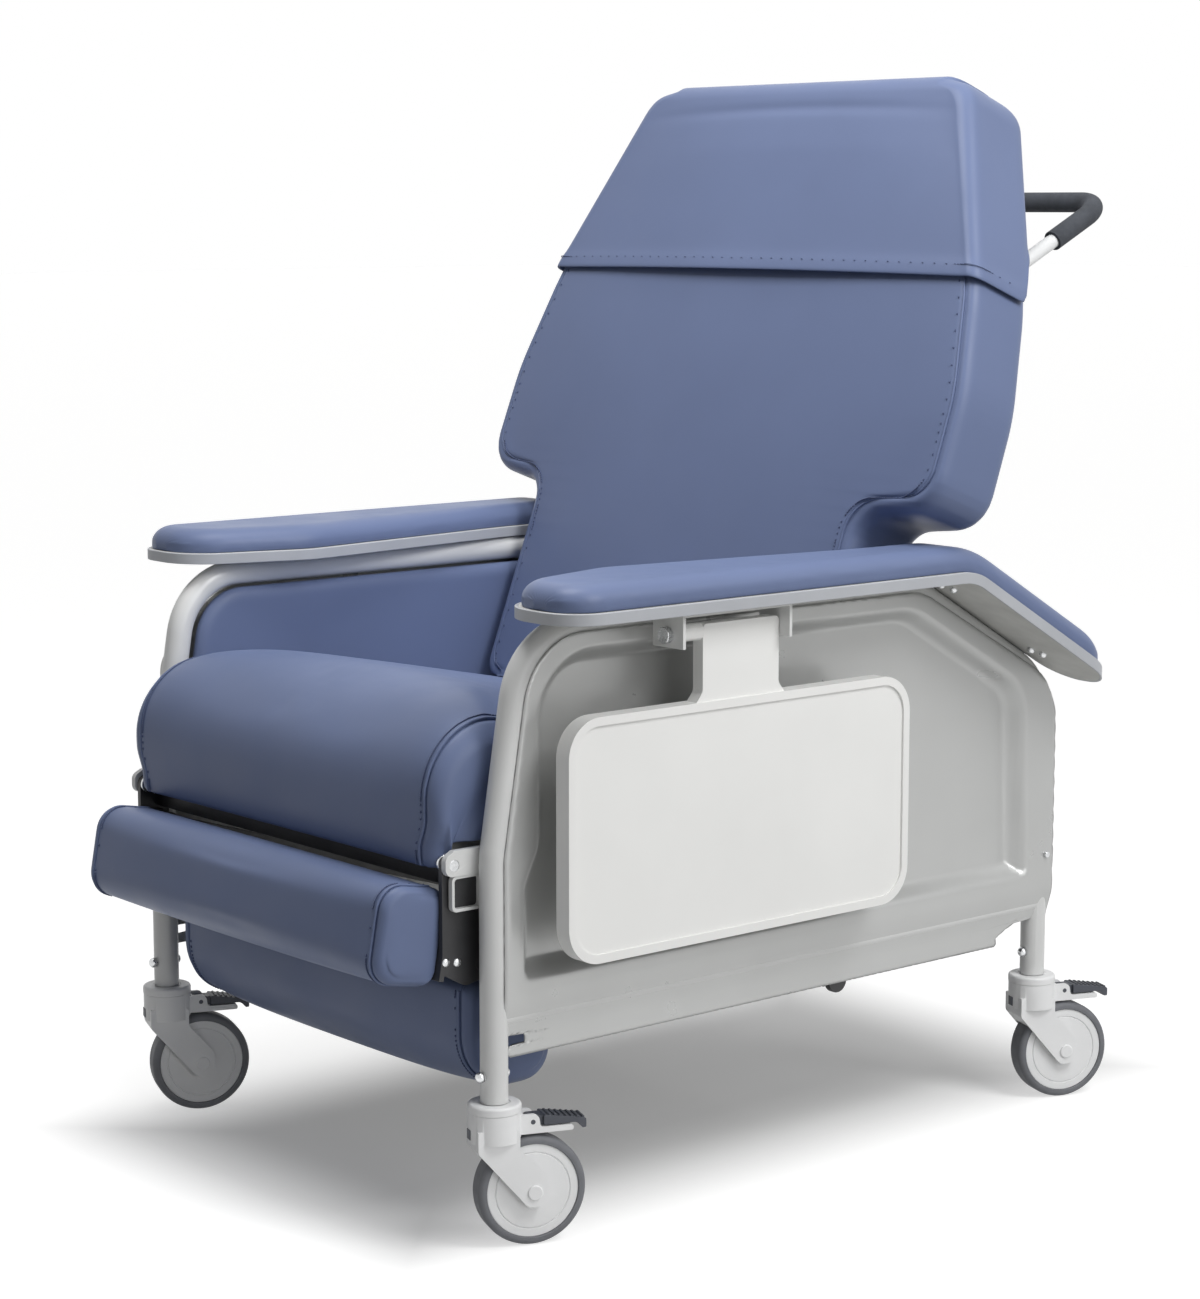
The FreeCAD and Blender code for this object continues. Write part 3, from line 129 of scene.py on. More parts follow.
def map_range(tree, source, *limits):
    """A node that carries a value from the first two limits to the last two."""
    node = tree.nodes.new("ShaderNodeMapRange")
    for name, value in zip(("From Min", "From Max", "To Min", "To Max"), limits):
        node.inputs[name].default_value = value
    tree.links.new(source, node.inputs["Value"])
    return node


def seen_directly(tree):
    """One for rays that show the surroundings: to the camera, in a reflection or through glass."""
    rays = tree.nodes.new("ShaderNodeLightPath").outputs
    shown = rays["Is Camera Ray"]
    for kind in ("Is Glossy Ray", "Is Transmission Ray"):
        shown = math_node(tree, "MAXIMUM", shown, rays[kind])
    return shown


def surroundings():
    """White where it is seen, and an even soft light on the chair."""
    world = bpy.data.worlds.new("studio_world")
    bpy.context.scene.world = world
    world.use_nodes = True
    tree = world.node_tree
    tree.nodes.clear()
    mix = tree.nodes.new("ShaderNodeMixShader")
    tree.links.new(seen_directly(tree), mix.inputs[0])
    for place, strength in ((1, WORLD_LIGHT), (2, 1.0)):
        light = tree.nodes.new("ShaderNodeBackground")
        light.inputs["Color"].default_value = WHITE
        light.inputs["Strength"].default_value = strength
        tree.links.new(light.outputs[0], mix.inputs[place])
    out = tree.nodes.new("ShaderNodeOutputWorld")
    tree.links.new(mix.outputs[0], out.inputs[0])


def studio_floor():
    """A pale floor that fades to white away from the chair and keeps its shadow."""
    mesh = bpy.data.meshes.new("studio_floor")
    reach = FLOOR_REACH
    mesh.from_pydata([(-reach, -reach, 0), (reach, -reach, 0), (reach, reach, 0), (-reach, reach, 0)],
                     [], [(0, 1, 2, 3)])
    floor = bpy.data.objects.new("studio_floor", mesh)
    bpy.context.scene.collection.objects.link(floor)
    paint = bpy.data.materials.new("floor_paint")
    paint.use_nodes = True
    tree = paint.node_tree
    shader = tree.nodes["Principled BSDF"].inputs
    shader["Base Color"].default_value = FLOOR_COLOUR
    shader["Roughness"].default_value = 0.9
    shader["Specular IOR Level"].default_value = 0.1
    shader["Emission Color"].default_value = WHITE
    place = tree.nodes.new("ShaderNodeTexCoord")
    parts = tree.nodes.new("ShaderNodeSeparateXYZ")
    tree.links.new(place.outputs["Object"], parts.inputs[0])
    past = [math_node(tree, "SUBTRACT", math_node(tree, "ABSOLUTE", parts.outputs[axis]), half)
            for axis, half in zip("XY", FOOTPRINT)]
    fade = map_range(tree, math_node(tree, "MAXIMUM", *past), *FLOOR_FADE)
    fade.interpolation_type = "SMOOTHSTEP"
    glow = math_node(tree, "MULTIPLY", fade.outputs["Result"], seen_directly(tree))
    tree.links.new(glow, shader["Emission Strength"])
    mesh.materials.append(paint)


def studio():
    bpy.context.scene.view_settings.view_transform = "Standard"
    sun("key_light", (-0.2, -0.3, -1.0), 0.25, 35)
    sun("side_fill", (-1.0, -0.05, -0.4), 0.75, 40)
    softbox("overhead", (0, -0.42, 2.1), (0, -0.1, 0.7), 0.8, 18)
    softbox("side_box", (1.7, 0.3, 2.1), (0.3, 0, 0.5), 0.9, 26)
    surroundings()
    studio_floor()


# materials: each is built from noise at the real scale of its grain

NOISE_RANGE = (0.3, 0.7)
WORN_EDGE = (0.52, 0.6)


def material(name, colour, roughness, *, tint, tint_size, grain, bump, bump_depth=0.2, metallic=0.0,
             specular=0.5, voronoi=False, rough_swing=0.08, scuff=0.0):
    """Colour and roughness vary softly, the surface has a grain, and scuff pales its edges."""
    made = bpy.data.materials.new(name)
    made.use_nodes = True
    tree = made.node_tree
    shader = tree.nodes["Principled BSDF"].inputs
    shader["Metallic"].default_value = metallic
    shader["Specular IOR Level"].default_value = specular
    place = tree.nodes.new("ShaderNodeTexCoord")

    def pattern(kind, size):
        node = tree.nodes.new(kind)
        node.inputs["Scale"].default_value = 1000.0 / size
        tree.links.new(place.outputs["Object"], node.inputs["Vector"])
        return node

    def noise(size, detail):
        node = pattern("ShaderNodeTexNoise", size)
        node.inputs["Detail"].default_value = detail
        return node.outputs["Fac"]

    ramp = tree.nodes.new("ShaderNodeValToRGB")
    for stop, at, swing in zip(ramp.color_ramp.elements, NOISE_RANGE, (-tint, tint)):
        stop.position = at
        stop.color = [min(1, c * (1 + swing)) for c in colour] + [1]
    tree.links.new(noise(tint_size, 3.0), ramp.inputs["Fac"])
    shown = ramp.outputs["Color"]
    if scuff:
        edge = tree.nodes.new("ShaderNodeNewGeometry")
        worn = map_range(tree, edge.outputs["Pointiness"], *WORN_EDGE, 0.0, scuff)
        broken = math_node(tree, "MULTIPLY", worn.outputs["Result"], noise(tint_size / 9, 6.0))
        blend = tree.nodes.new("ShaderNodeMix")
        blend.data_type = "RGBA"
        blend.inputs["B"].default_value = [min(1, c * 1.35 + 0.05) for c in colour] + [1]
        tree.links.new(broken, blend.inputs["Factor"])
        tree.links.new(shown, blend.inputs["A"])
        shown = blend.outputs["Result"]
    tree.links.new(shown, shader["Base Color"])
    patches = map_range(tree, noise(tint_size / 3, 5.0), *NOISE_RANGE,
                        roughness - rough_swing, roughness + rough_swing)
    tree.links.new(patches.outputs["Result"], shader["Roughness"])
    relief = tree.nodes.new("ShaderNodeBump")
    relief.inputs["Strength"].default_value = bump
    relief.inputs["Distance"].default_value = bump_depth * MM
    if voronoi:
        cells = pattern("ShaderNodeTexVoronoi", grain)
        cells.feature = "SMOOTH_F1"
        height = cells.outputs["Distance"]
    else:
        height = noise(grain, 4.0)
    tree.links.new(height, relief.inputs["Height"])
    tree.links.new(relief.outputs["Normal"], shader["Normal"])
    return made


VINYL = material("vinyl", (0.137, 0.175, 0.3), 0.42, specular=0.2, tint=0.035, tint_size=160,
                 grain=1.1, bump=0.35, bump_depth=0.12, voronoi=True, rough_swing=0.05)
THREAD = material("thread", (0.06, 0.082, 0.165), 0.6, tint=0.1, tint_size=4, grain=0.4, bump=0.4)
FRAME_PAINT = material("frame_paint", (0.70, 0.705, 0.70), 0.36, tint=0.03, tint_size=200,
                       grain=0.9, bump=0.12, bump_depth=0.05, scuff=0.25)
PANEL_PAINT = material("panel_paint", (0.49, 0.495, 0.49), 0.34, metallic=0.35, tint=0.03,
                       tint_size=200, grain=2.5, bump=0.03, bump_depth=0.05)
WHITE_PAINT = material("white_paint", (0.80, 0.81, 0.81), 0.3, tint=0.02, tint_size=120,
                       grain=1.2, bump=0.08, bump_depth=0.05)
WHITE_PLASTIC = material("white_plastic", (0.88, 0.885, 0.89), 0.4, tint=0.03, tint_size=60,
                         grain=0.5, bump=0.2, bump_depth=0.05, scuff=0.15)
TRAY_PLASTIC = material("tray_plastic", (0.86, 0.86, 0.845), 0.36, tint=0.02, tint_size=150,
                        grain=0.6, bump=0.2, bump_depth=0.05)
TYRE = material("grey_tyre", (0.16, 0.165, 0.18), 0.62, tint=0.12, tint_size=30, grain=0.8,
                bump=0.4, bump_depth=0.1, scuff=0.3)
DARK_PLASTIC = material("dark_plastic", (0.055, 0.06, 0.075), 0.5, tint=0.15, tint_size=30,
                        grain=0.5, bump=0.4, bump_depth=0.08, scuff=0.3)
TRIM = material("trim", (0.43, 0.445, 0.475), 0.45, tint=0.04, tint_size=60, grain=0.8,
                bump=0.15, bump_depth=0.05, scuff=0.2)
BOARD = material("board", (0.55, 0.55, 0.53), 0.6, tint=0.08, tint_size=40, grain=1.5, bump=0.3)
BLACK_STEEL = material("black_steel", (0.022, 0.022, 0.024), 0.42, tint=0.15, tint_size=60,
                       grain=0.7, bump=0.25, bump_depth=0.08, scuff=0.35)
ZINC = material("zinc", (0.62, 0.63, 0.64), 0.28, metallic=1.0, tint=0.08, tint_size=10,
                grain=0.4, bump=0.15, bump_depth=0.05)
GRIP_FOAM = material("foam_grip", (0.045, 0.05, 0.06), 0.85, tint=0.15, tint_size=20, grain=0.9,
                     bump=0.7, bump_depth=0.3)

SLOT_MATERIALS = {"vinyl": VINYL, "frame_paint": FRAME_PAINT, "panel_paint": PANEL_PAINT,
                  "white_paint": WHITE_PAINT, "white_plastic": WHITE_PLASTIC,
                  "tray_plastic": TRAY_PLASTIC, "grey_tyre": TYRE, "dark_plastic": DARK_PLASTIC,
                  "trim": TRIM, "board": BOARD, "black_steel": BLACK_STEEL, "zinc": ZINC,
                  "foam_grip": GRIP_FOAM}
EDGE_WIDTH = 0.7
WIDER_EDGES = {"tray_left": 3.0, "tray_right": 3.0}


def dress_solids():
    """Gives every CAD node its material and softens its edges with modifiers."""
    for part in frame["record"]["subparts"]:
        thing = frame["nodes"][part["node"]]
        thing.data.materials.clear()
        thing.data.materials.append(SLOT_MATERIALS[part["material_slot"]])
        weld = thing.modifiers.new("weld", "WELD")
        weld.merge_threshold = 0.00002
        flat = thing.modifiers.new("flat_faces", "DECIMATE")
        flat.decimate_type = "DISSOLVE"
        flat.angle_limit = math.radians(0.6)
        bevel = thing.modifiers.new("soft_edges", "BEVEL")
        bevel.width = WIDER_EDGES.get(part["node"], EDGE_WIDTH) * MM
        bevel.segments = 3
        bevel.limit_method = "ANGLE"
        bevel.angle_limit = math.radians(40)
        bevel.use_clamp_overlap = True
        smooth = thing.modifiers.new("even_normals", "WEIGHTED_NORMAL")
        smooth.keep_sharp = False
        thing.data.polygons.foreach_set("use_smooth", [True] * len(thing.data.polygons))


# outlines and meshes

CORNER_POINTS = 14
OUTLINE_POINTS = 1600
EDGE_POINTS = 900


def soft_step(share):
    share = np.clip(share, 0, 1)
    return share * share * (3 - 2 * share)


def unit(vectors):
    """Vectors made one long."""
    return vectors / np.maximum(TINY, np.linalg.norm(vectors, axis=-1, keepdims=True))


def length_of(line):
    return np.linalg.norm(np.diff(line, axis=0), axis=1).sum()


def ring_closed(outline):
    return np.vstack([outline, outline[:1]])


def rounded_outline(corners):
    """A dense closed outline; each corner is (a, b) or (a, b, radius)."""
    points = [np.array(corner[:2], float) for corner in corners]
    count = len(points)
    outline = []
    for i, point in enumerate(points):
        radius = corners[i][2] if len(corners[i]) > 2 else 0
        if radius == 0:
            outline.append(point)
            continue
        back = unit(points[i - 1] - point)
        ahead = unit(points[(i + 1) % count] - point)
        half = math.acos(max(-1, min(1, float(back @ ahead)))) / 2
        centre = point + unit(back + ahead) * radius / math.sin(half)
        spoke = point + back * radius / math.tan(half) - centre
        turn = math.pi - 2 * half
        sign = 1 if back[0] * ahead[1] - back[1] * ahead[0] < 0 else -1
        for share in np.linspace(0, 1, CORNER_POINTS):
            cos, sin = math.cos(sign * turn * share), math.sin(sign * turn * share)
            outline.append(centre + np.array([spoke[0] * cos - spoke[1] * sin,
                                              spoke[0] * sin + spoke[1] * cos]))
    return np.array(outline)


def resample(points, count):
    """An open line divided evenly into count points."""
    steps = np.linalg.norm(np.diff(points, axis=0), axis=1)
    run = np.concatenate([[0], np.cumsum(steps)])
    marks = np.linspace(0, run[-1], count)
    return np.stack([np.interp(marks, run, column) for column in points.T], axis=1)


def divided(outline, anchors, counts):
    """A closed outline cut at the points nearest to the anchors; each piece gets its own count."""
    dense = resample(ring_closed(outline), OUTLINE_POINTS)[:-1]
    cuts = [int(np.argmin(np.linalg.norm(dense - np.array(anchor), axis=1))) for anchor in anchors]
    pieces = []
    for k, count in enumerate(counts):
        start, end = cuts[k], cuts[(k + 1) % len(cuts)]
        index = np.arange(start, end + 1 if end > start else end + len(dense) + 1)
        pieces.append(resample(dense[index % len(dense)], count + 1)[:-1])
    return np.vstack(pieces)


def strips(rows, columns, closed=True, start=0):
    """Faces between rows of points, which run round where they are closed."""
    faces = []
    for near in range(start, start + (rows - 1) * columns, columns):
        far = near + columns
        for i in range(columns if closed else columns - 1):
            k = (i + 1) % columns
            faces.append((near + i, near + k, far + k, far + i))
    return faces


def circle(centre, first, second, radius, sides):
    """Points round a centre, in the plane of two directions."""
    turns = 2 * math.pi * np.arange(sides) / sides
    return list(centre + radius * (np.outer(np.cos(turns), first) + np.outer(np.sin(turns), second)))


def mesh_from(name, points, faces, skin, smooth=True):
    """An object from points in millimetres."""
    mesh = bpy.data.meshes.new(name)
    mesh.from_pydata((np.asarray(points) * MM).tolist(), [], [list(map(int, face)) for face in faces])
    mesh.validate()
    mesh.polygons.foreach_set("use_smooth", [smooth] * len(mesh.polygons))
    mesh.materials.append(skin)
    made = bpy.data.objects.new(name, mesh)
    bpy.context.scene.collection.objects.link(made)
    return made


def outward(thing):
    """Turns all faces of a closed mesh to the outside."""
    work = bmesh.new()
    work.from_mesh(thing.data)
    bmesh.ops.recalc_face_normals(work, faces=work.faces)
    work.to_mesh(thing.data)
    work.free()


def thicken(thing, thickness):
    shell = thing.modifiers.new("thickness", "SOLIDIFY")
    shell.thickness = thickness * MM
    shell.offset = -1


def ring_solid(name, rings, rungs, bulge, cap_axis):
    """A closed vinyl skin over rings of equal count; both ends are filled by rungs across the
    ring, from the half that starts at point 0 to the other half, and bulge along cap_axis."""
    rings = np.asarray(rings)
    count, around = rings.shape[:2]
    points = [rings.reshape(-1, 3)]
    faces = strips(count, around)
    total = count * around
    half = around // 2
    for row, sign in ((0, -1), (count - 1, 1)):
        base = row * around
        inner = {}
        extra = []
        for k in range(1, half):
            near = rings[row][k]
            far = rings[row][around - k]
            line = [base + k]
            for m in range(1, rungs):
                share = m / rungs
                lift = bulge * (1 - abs(2 * share - 1) ** 3) * (1 - abs(2 * k / half - 1) ** 8)
                extra.append(near + (far - near) * share + sign * lift * np.array(cap_axis, float))
                line.append(total + len(extra) - 1)
            line.append(base + around - k)
            inner[k] = line
        total += len(extra)
        points.append(np.array(extra))
        for k in range(1, half - 1):
            for m in range(rungs):
                faces.append((inner[k][m], inner[k + 1][m], inner[k + 1][m + 1], inner[k][m + 1]))
        for m in range(rungs):
            faces.append((base, inner[1][m], inner[1][m + 1]))
            faces.append((base + half, inner[half - 1][m + 1], inner[half - 1][m]))
    made = mesh_from(name, np.vstack(points), faces, VINYL)
    outward(made)
    return made


# covers: cloth, seams, stitches and welts

CLOTH_FRAMES = 14
CLOTH_PRESSURE = 3.0
BATCH = 4000
THREAD_SIDES = 6
THREAD_SHAPE = ((-1, 0.35), (-0.75, 0.85), (0, 1.0), (0.75, 0.85), (1, 0.35))
THREAD_DIP = 0.8
WELT_SIDES = 8
STITCH_ROWS_IN = 3
WELT_ROWS_IN = 1


def read_vertices(thing, what):
    flat = np.zeros(len(thing.data.vertices) * 3)
    thing.data.vertices.foreach_get(what, flat)
    return flat.reshape(-1, 3)


def coordinates(thing):
    return read_vertices(thing, "co")


def normals_of(thing):
    return read_vertices(thing, "normal")


def set_coordinates(thing, points):
    thing.data.vertices.foreach_set("co", np.asarray(points, np.float32).ravel())
    thing.data.update()


def puff(thing, held, cap):
    """Blows the cover up a little as cloth, with the held points fixed, and keeps the result."""
    rest = coordinates(thing)
    group = thing.vertex_groups.new(name="held")
    group.add(np.nonzero(held)[0].tolist(), 1.0, "REPLACE")
    cloth = thing.modifiers.new("cover", "CLOTH")
    cloth.settings.quality = 5
    cloth.settings.mass = 0.4
    cloth.settings.tension_stiffness = 25
    cloth.settings.compression_stiffness = 25
    cloth.settings.bending_stiffness = 4
    cloth.settings.use_pressure = True
    cloth.settings.uniform_pressure_force = CLOTH_PRESSURE
    cloth.settings.vertex_group_mass = "held"
    cloth.settings.effector_weights.gravity = 0
    cloth.point_cache.frame_start = 1
    cloth.point_cache.frame_end = CLOTH_FRAMES
    scene = bpy.context.scene
    for step in range(1, CLOTH_FRAMES + 1):
        scene.frame_set(step)
    seen = thing.evaluated_get(bpy.context.evaluated_depsgraph_get())
    moved = np.array([point.co for point in seen.data.vertices])
    thing.modifiers.remove(cloth)
    thing.vertex_groups.clear()
    scene.frame_set(1)
    shift = moved - rest
    length = np.linalg.norm(shift, axis=1, keepdims=True)
    limit = cap * MM
    share = limit * np.tanh(length / limit) / np.maximum(length, TINY)
    set_coordinates(thing, rest + shift * share)


def sink(thing, lines, depth, reach):
    """Presses a narrow groove along lines of points on the surface."""
    points = coordinates(thing)
    normals = normals_of(thing)
    near = np.full(len(points), np.inf)
    for line in lines:
        dense = resample(line, max(2, int(length_of(line) / (reach * MM / 2))))
        for start in range(0, len(points), BATCH):
            part = slice(start, start + BATCH)
            gap = np.linalg.norm(points[part, None] - dense[None], axis=2).min(axis=1)
            near[part] = np.minimum(near[part], gap)
    press = np.exp(-(near / (reach * MM)) ** 2) * depth * MM
    set_coordinates(thing, points - normals * press[:, None])


def sewn(name, points, faces, skin, body):
    """A thread or a welt of a cover; points in metres."""
    made = mesh_from(name, np.array(points) / MM, faces, skin)
    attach(made, body)


def stitches(name, lines, normal_lines, body, spacing=4.4, length=2.8, radius=0.8, lift=0.75):
    """Short raised threads along lines of points, with the surface's normals beside them."""
    points = []
    faces = []
    end = (len(THREAD_SHAPE) - 1) * THREAD_SIDES
    for line, normals in zip(lines, normal_lines):
        count = max(2, int(length_of(line) / (spacing * MM)))
        spots = resample(np.hstack([line, normals]), 4 * count + 1)
        for a, b in zip(spots[0:-1:4], spots[3::4]):
            along = unit(b[:3] - a[:3])
            up = unit(a[3:] + b[3:])
            across = unit(np.cross(along, up))
            middle = (a[:3] + b[:3]) / 2 + up * lift * MM
            base = len(points)
            for share, swell in THREAD_SHAPE:
                dip = abs(share) ** 3 * radius * THREAD_DIP
                centre = middle + (along * share * length / 2 - up * dip) * MM
                points += circle(centre, across, up, radius * swell * MM, THREAD_SIDES)
            faces += strips(len(THREAD_SHAPE), THREAD_SIDES, start=base)
            faces.append([base + s for s in reversed(range(THREAD_SIDES))])
            faces.append([base + end + s for s in range(THREAD_SIDES)])
    sewn(name, points, faces, THREAD, body)


def cord(name, lines, normal_lines, body, radius=1.5, lift=0.4):
    """A thin welt laid along lines of points on a surface."""
    points = []
    faces = []
    for line, normals in zip(lines, normal_lines):
        ahead = np.vstack([line[1:2] - line[:1], line[2:] - line[:-2], line[-1:] - line[-2:-1]])
        across = unit(np.cross(unit(ahead), normals))
        faces += strips(len(line), WELT_SIDES, start=len(points))
        for at, up, side in zip(line, normals, across):
            points += circle(at + up * lift * MM, side, up, radius * MM, WELT_SIDES)
    sewn(name, points, faces, VINYL, body)


def sew(name, thing, seams, body, **welt):
    """Stitching and a welt beside seams, each given by its points and the step one row inwards."""
    points = coordinates(thing)
    normals = normals_of(thing)
    inner = [index + STITCH_ROWS_IN * step for index, step in seams]
    stitches(name + "_stitching", [points[i] for i in inner], [normals[i] for i in inner], body)
    inner = [index + WELT_ROWS_IN * step for index, step in seams]
    cord(name + "_welt", [points[i] for i in inner], [normals[i] for i in inner], body, **welt)


def soft_piece(thing, body, node):
    smooth = thing.modifiers.new("smooth", "SUBSURF")
    smooth.levels = 1
    smooth.render_levels = 1
    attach(thing, body)
    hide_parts(node)


# cushions lofted across the chair: seat, calf pad and foot pad

MIDDLE_ROWS = 24
END_ROWS = 7
END_RUNGS = 8
END_BULGE = 3


def across_places(half, end):
    """Places from the middle to the seam, then closer ones round the end."""
    seam = half - end
    inner = np.concatenate([np.linspace(0, seam - 7, MIDDLE_ROWS), [seam - 4.2, seam - 2.0, seam]])
    outer = seam + end * np.sin(np.linspace(0, math.pi / 2, END_ROWS + 1)[1:])
    right = np.concatenate([inner, [seam + 1.8], outer])
    return np.concatenate([-right[:0:-1], right]), seam


def end_inset(x, half, end, draw):
    """How far the section shrinks past the seam, so that the end is round."""
    past = max(0.0, (abs(x) - (half - end)) / end)
    return draw * (1 - math.sqrt(max(0.0, 1 - past * past)))


def crossed_cushion(name, node, body, half, end, draw, section, anchors, counts, cap, held_at,
                    stitched, shape=None):
    """A cushion made of sections along X, with a sewn end panel at each side."""
    places, seam = across_places(half, end)
    rings = []
    for x in places:
        outline = rounded_outline(section(x, end_inset(x, half, end, draw)))
        ring = divided(outline, anchors(x), counts)
        rings.append(np.column_stack([np.full(len(ring), x), ring]))
    rings = np.array(rings)
    if shape:
        rings = shape(rings)
    thing = ring_solid(name, rings, END_RUNGS, END_BULGE, (1, 0, 0))
    around = sum(counts)
    held = np.zeros(len(thing.data.vertices))
    rows = [int(np.argmin(np.abs(places - sign * seam))) for sign in (-1, 1)]
    for row in rows:
        held[row * around:(row + 1) * around] = 1.0
    for i in range(around):
        if held_at(i):
            held[i:len(places) * around:around] = 1.0
    puff(thing, held, cap)
    points = coordinates(thing)
    sink(thing, [ring_closed(points[row * around:(row + 1) * around]) for row in rows], 2.6, 1.5)
    seams = [(row * around + np.arange(*stitched), sign * around) for row, sign in zip(rows, (1, -1))]
    sew(name, thing, seams, body)
    soft_piece(thing, body, node)


SEAT_HALF = 286
SEAT_FRONT = -499
SEAT_FRONT_TOP = 557
SEAT_ROLL = 66
SEAT_REAR = 119
SEAT_REAR_TOP = 446
SEAT_BASE = 415
SEAT_LIP = 388
SEAT_LIP_REAR = SEAT_FRONT + 27


def seat_section(x, inset):
    share = abs(x) / SEAT_HALF
    crown = 12 * (1 - share ** 3) - 30 * share ** 10
    fuller = 38 * (1 - share ** 4)
    front = SEAT_FRONT + inset
    rear = SEAT_REAR - inset
    lip = SEAT_LIP + inset / 2
    return [(front + 4, lip, 8),
            (front, SEAT_FRONT_TOP + crown + fuller / 5 - inset / 2, SEAT_ROLL + fuller),
            (rear, SEAT_REAR_TOP + crown / 4 - inset / 2, 10), (rear, SEAT_BASE, 3),
            (SEAT_LIP_REAR, SEAT_BASE, 3), (SEAT_LIP_REAR, lip, 5)]


def seat_shape(rings):
    """Draws the seat in at its hanging lip and, at the rear, beside the back's posts."""
    x, y, z = rings[..., 0], rings[..., 1], rings[..., 2]
    lip = soft_step((440 - z) / 32) * soft_step((-452 - y) / 14)
    rear = soft_step((y - 2) / 18)
    drawn = x * (1 - np.maximum(11 * lip, 14.5 * rear) / SEAT_HALF)
    return np.stack([drawn, y, z], axis=-1)


def seat():
    crossed_cushion(
        "seat_cover", "seat_cushion", "frame", SEAT_HALF, 20, 14, seat_section,
        lambda x: [(SEAT_REAR, SEAT_BASE), (SEAT_LIP_REAR, SEAT_BASE), (SEAT_FRONT + 16, SEAT_LIP),
                   (SEAT_FRONT + 90, 550)],
        (64, 32, 32, 64), 6, lambda i: i <= 96 or i > 176, (98, 165), seat_shape)


CALF_HALF = 275
CALF_AT = (-524.66, 326.0)
CALF_TILT = math.radians(10.5)
CALF_DEEP = 38
CALF_TALL = 50


def calf_point(a, b):
    """A point of the tilted calf pad's own section, in the chair's side plane."""
    return (CALF_AT[0] + a * math.cos(CALF_TILT) + b * math.sin(CALF_TILT),
            CALF_AT[1] - a * math.sin(CALF_TILT) + b * math.cos(CALF_TILT))


def calf_section(x, inset):
    share = abs(x) / CALF_HALF
    front = -CALF_DEEP + 4 + inset - 4 * (1 - share ** 3)
    top = CALF_TALL - inset
    corners = ((CALF_DEEP, top, 10), (front, top, 26), (front, -top, 26), (CALF_DEEP, -top, 10))
    return [calf_point(a, b) + (radius,) for a, b, radius in corners]


def calf_pad():
    crossed_cushion(
        "calf_cover", "calf_pad", "legrest", CALF_HALF, 12, 8, calf_section,
        lambda x: [calf_point(CALF_DEEP, CALF_TALL), calf_point(-CALF_DEEP, -CALF_TALL)],
        (48, 48), 3, lambda i: i > 69, (3, 68))


FOOT_HALF = 268
FOOT_FRONT = -446
FOOT_REAR = -335
FOOT_TOP = 264


def foot_bottom(x):
    return 139 + 9 * (x / FOOT_HALF) ** 4


def foot_section(x, inset):
    front = FOOT_FRONT + inset
    rear = FOOT_REAR - inset
    bottom = foot_bottom(x) + inset
    top = FOOT_TOP - inset
    return [(front, top, 14), (front, bottom, 62), (rear, bottom, 30), (rear, top, 14)]


def foot_pad():
    crossed_cushion(
        "foot_cover", "foot_pad", "footrest", FOOT_HALF, 14, 10, foot_section,
        lambda x: [(FOOT_FRONT, FOOT_TOP), (FOOT_REAR, foot_bottom(x))],
        (48, 48), 4, lambda i: i > 75, (2, 46))


# back: rings across and through the cushion, stacked up the leaning back

LEAN = Matrix.Translation(Vector((0, 5, 487))) @ Matrix.Rotation(math.radians(-21), 4, "X")
SEAT_LINE = 475
SEAT_SLOPE = math.radians(9)
BACK_THICK = 96
BACK_TOP = 750
BACK_FOOT = -20
BACK_WAIST = 281
BACK_CROWN = 10.0
BACK_RIM = 18.0
TOP_ROLL = 26.0
HEM = 511
SEAM_INSET = 13.0
BACK_CORNER = (247, 75)
HOOD_CORNER = (258, 52)
NOTCH_BLEND = np.linspace(-80, 80, 9)
FRONT_COUNT = 60
SIDE_COUNT = 14
BACK_RUNGS = 6
BACK_EDGES = {}


def back_edge(inset, top=BACK_CORNER):
    """Half the back's outline from foot to top, drawn in by an inset; top is the upper corner's
    half width and radius."""
    key = (round(inset, 2), top)
    if key not in BACK_EDGES:
        BACK_EDGES[key] = rounded_outline([
            (0, BACK_FOOT + inset), (BACK_WAIST - inset, BACK_FOOT + inset, 25),
            (BACK_WAIST - inset, 240 + inset, 38 + inset / 2),
            (388 - inset, 250 + inset, 41 - inset / 3), (386 - inset, 380, 250),
            (357 - inset, HEM, 300), (top[0] - inset, BACK_TOP - inset, top[1] - inset / 2),
            (0, BACK_TOP - inset)])[1:-1]
    return BACK_EDGES[key]


def back_width(height, inset, top=BACK_CORNER):
    edge = back_edge(inset, top)
    return float(np.interp(height, edge[:, 1], edge[:, 0]))


def back_heights():
    """Heights close together wherever the outline runs level."""
    found = np.sort(np.concatenate([resample(back_edge(inset), 80)[:, 1]
                                    for inset in (0.0, 5.0, SEAM_INSET)]))
    heights = [BACK_FOOT]
    for height in found:
        if height - heights[-1] > 0.9:
            heights.append(float(height))
    heights[-1] = BACK_TOP
    return heights


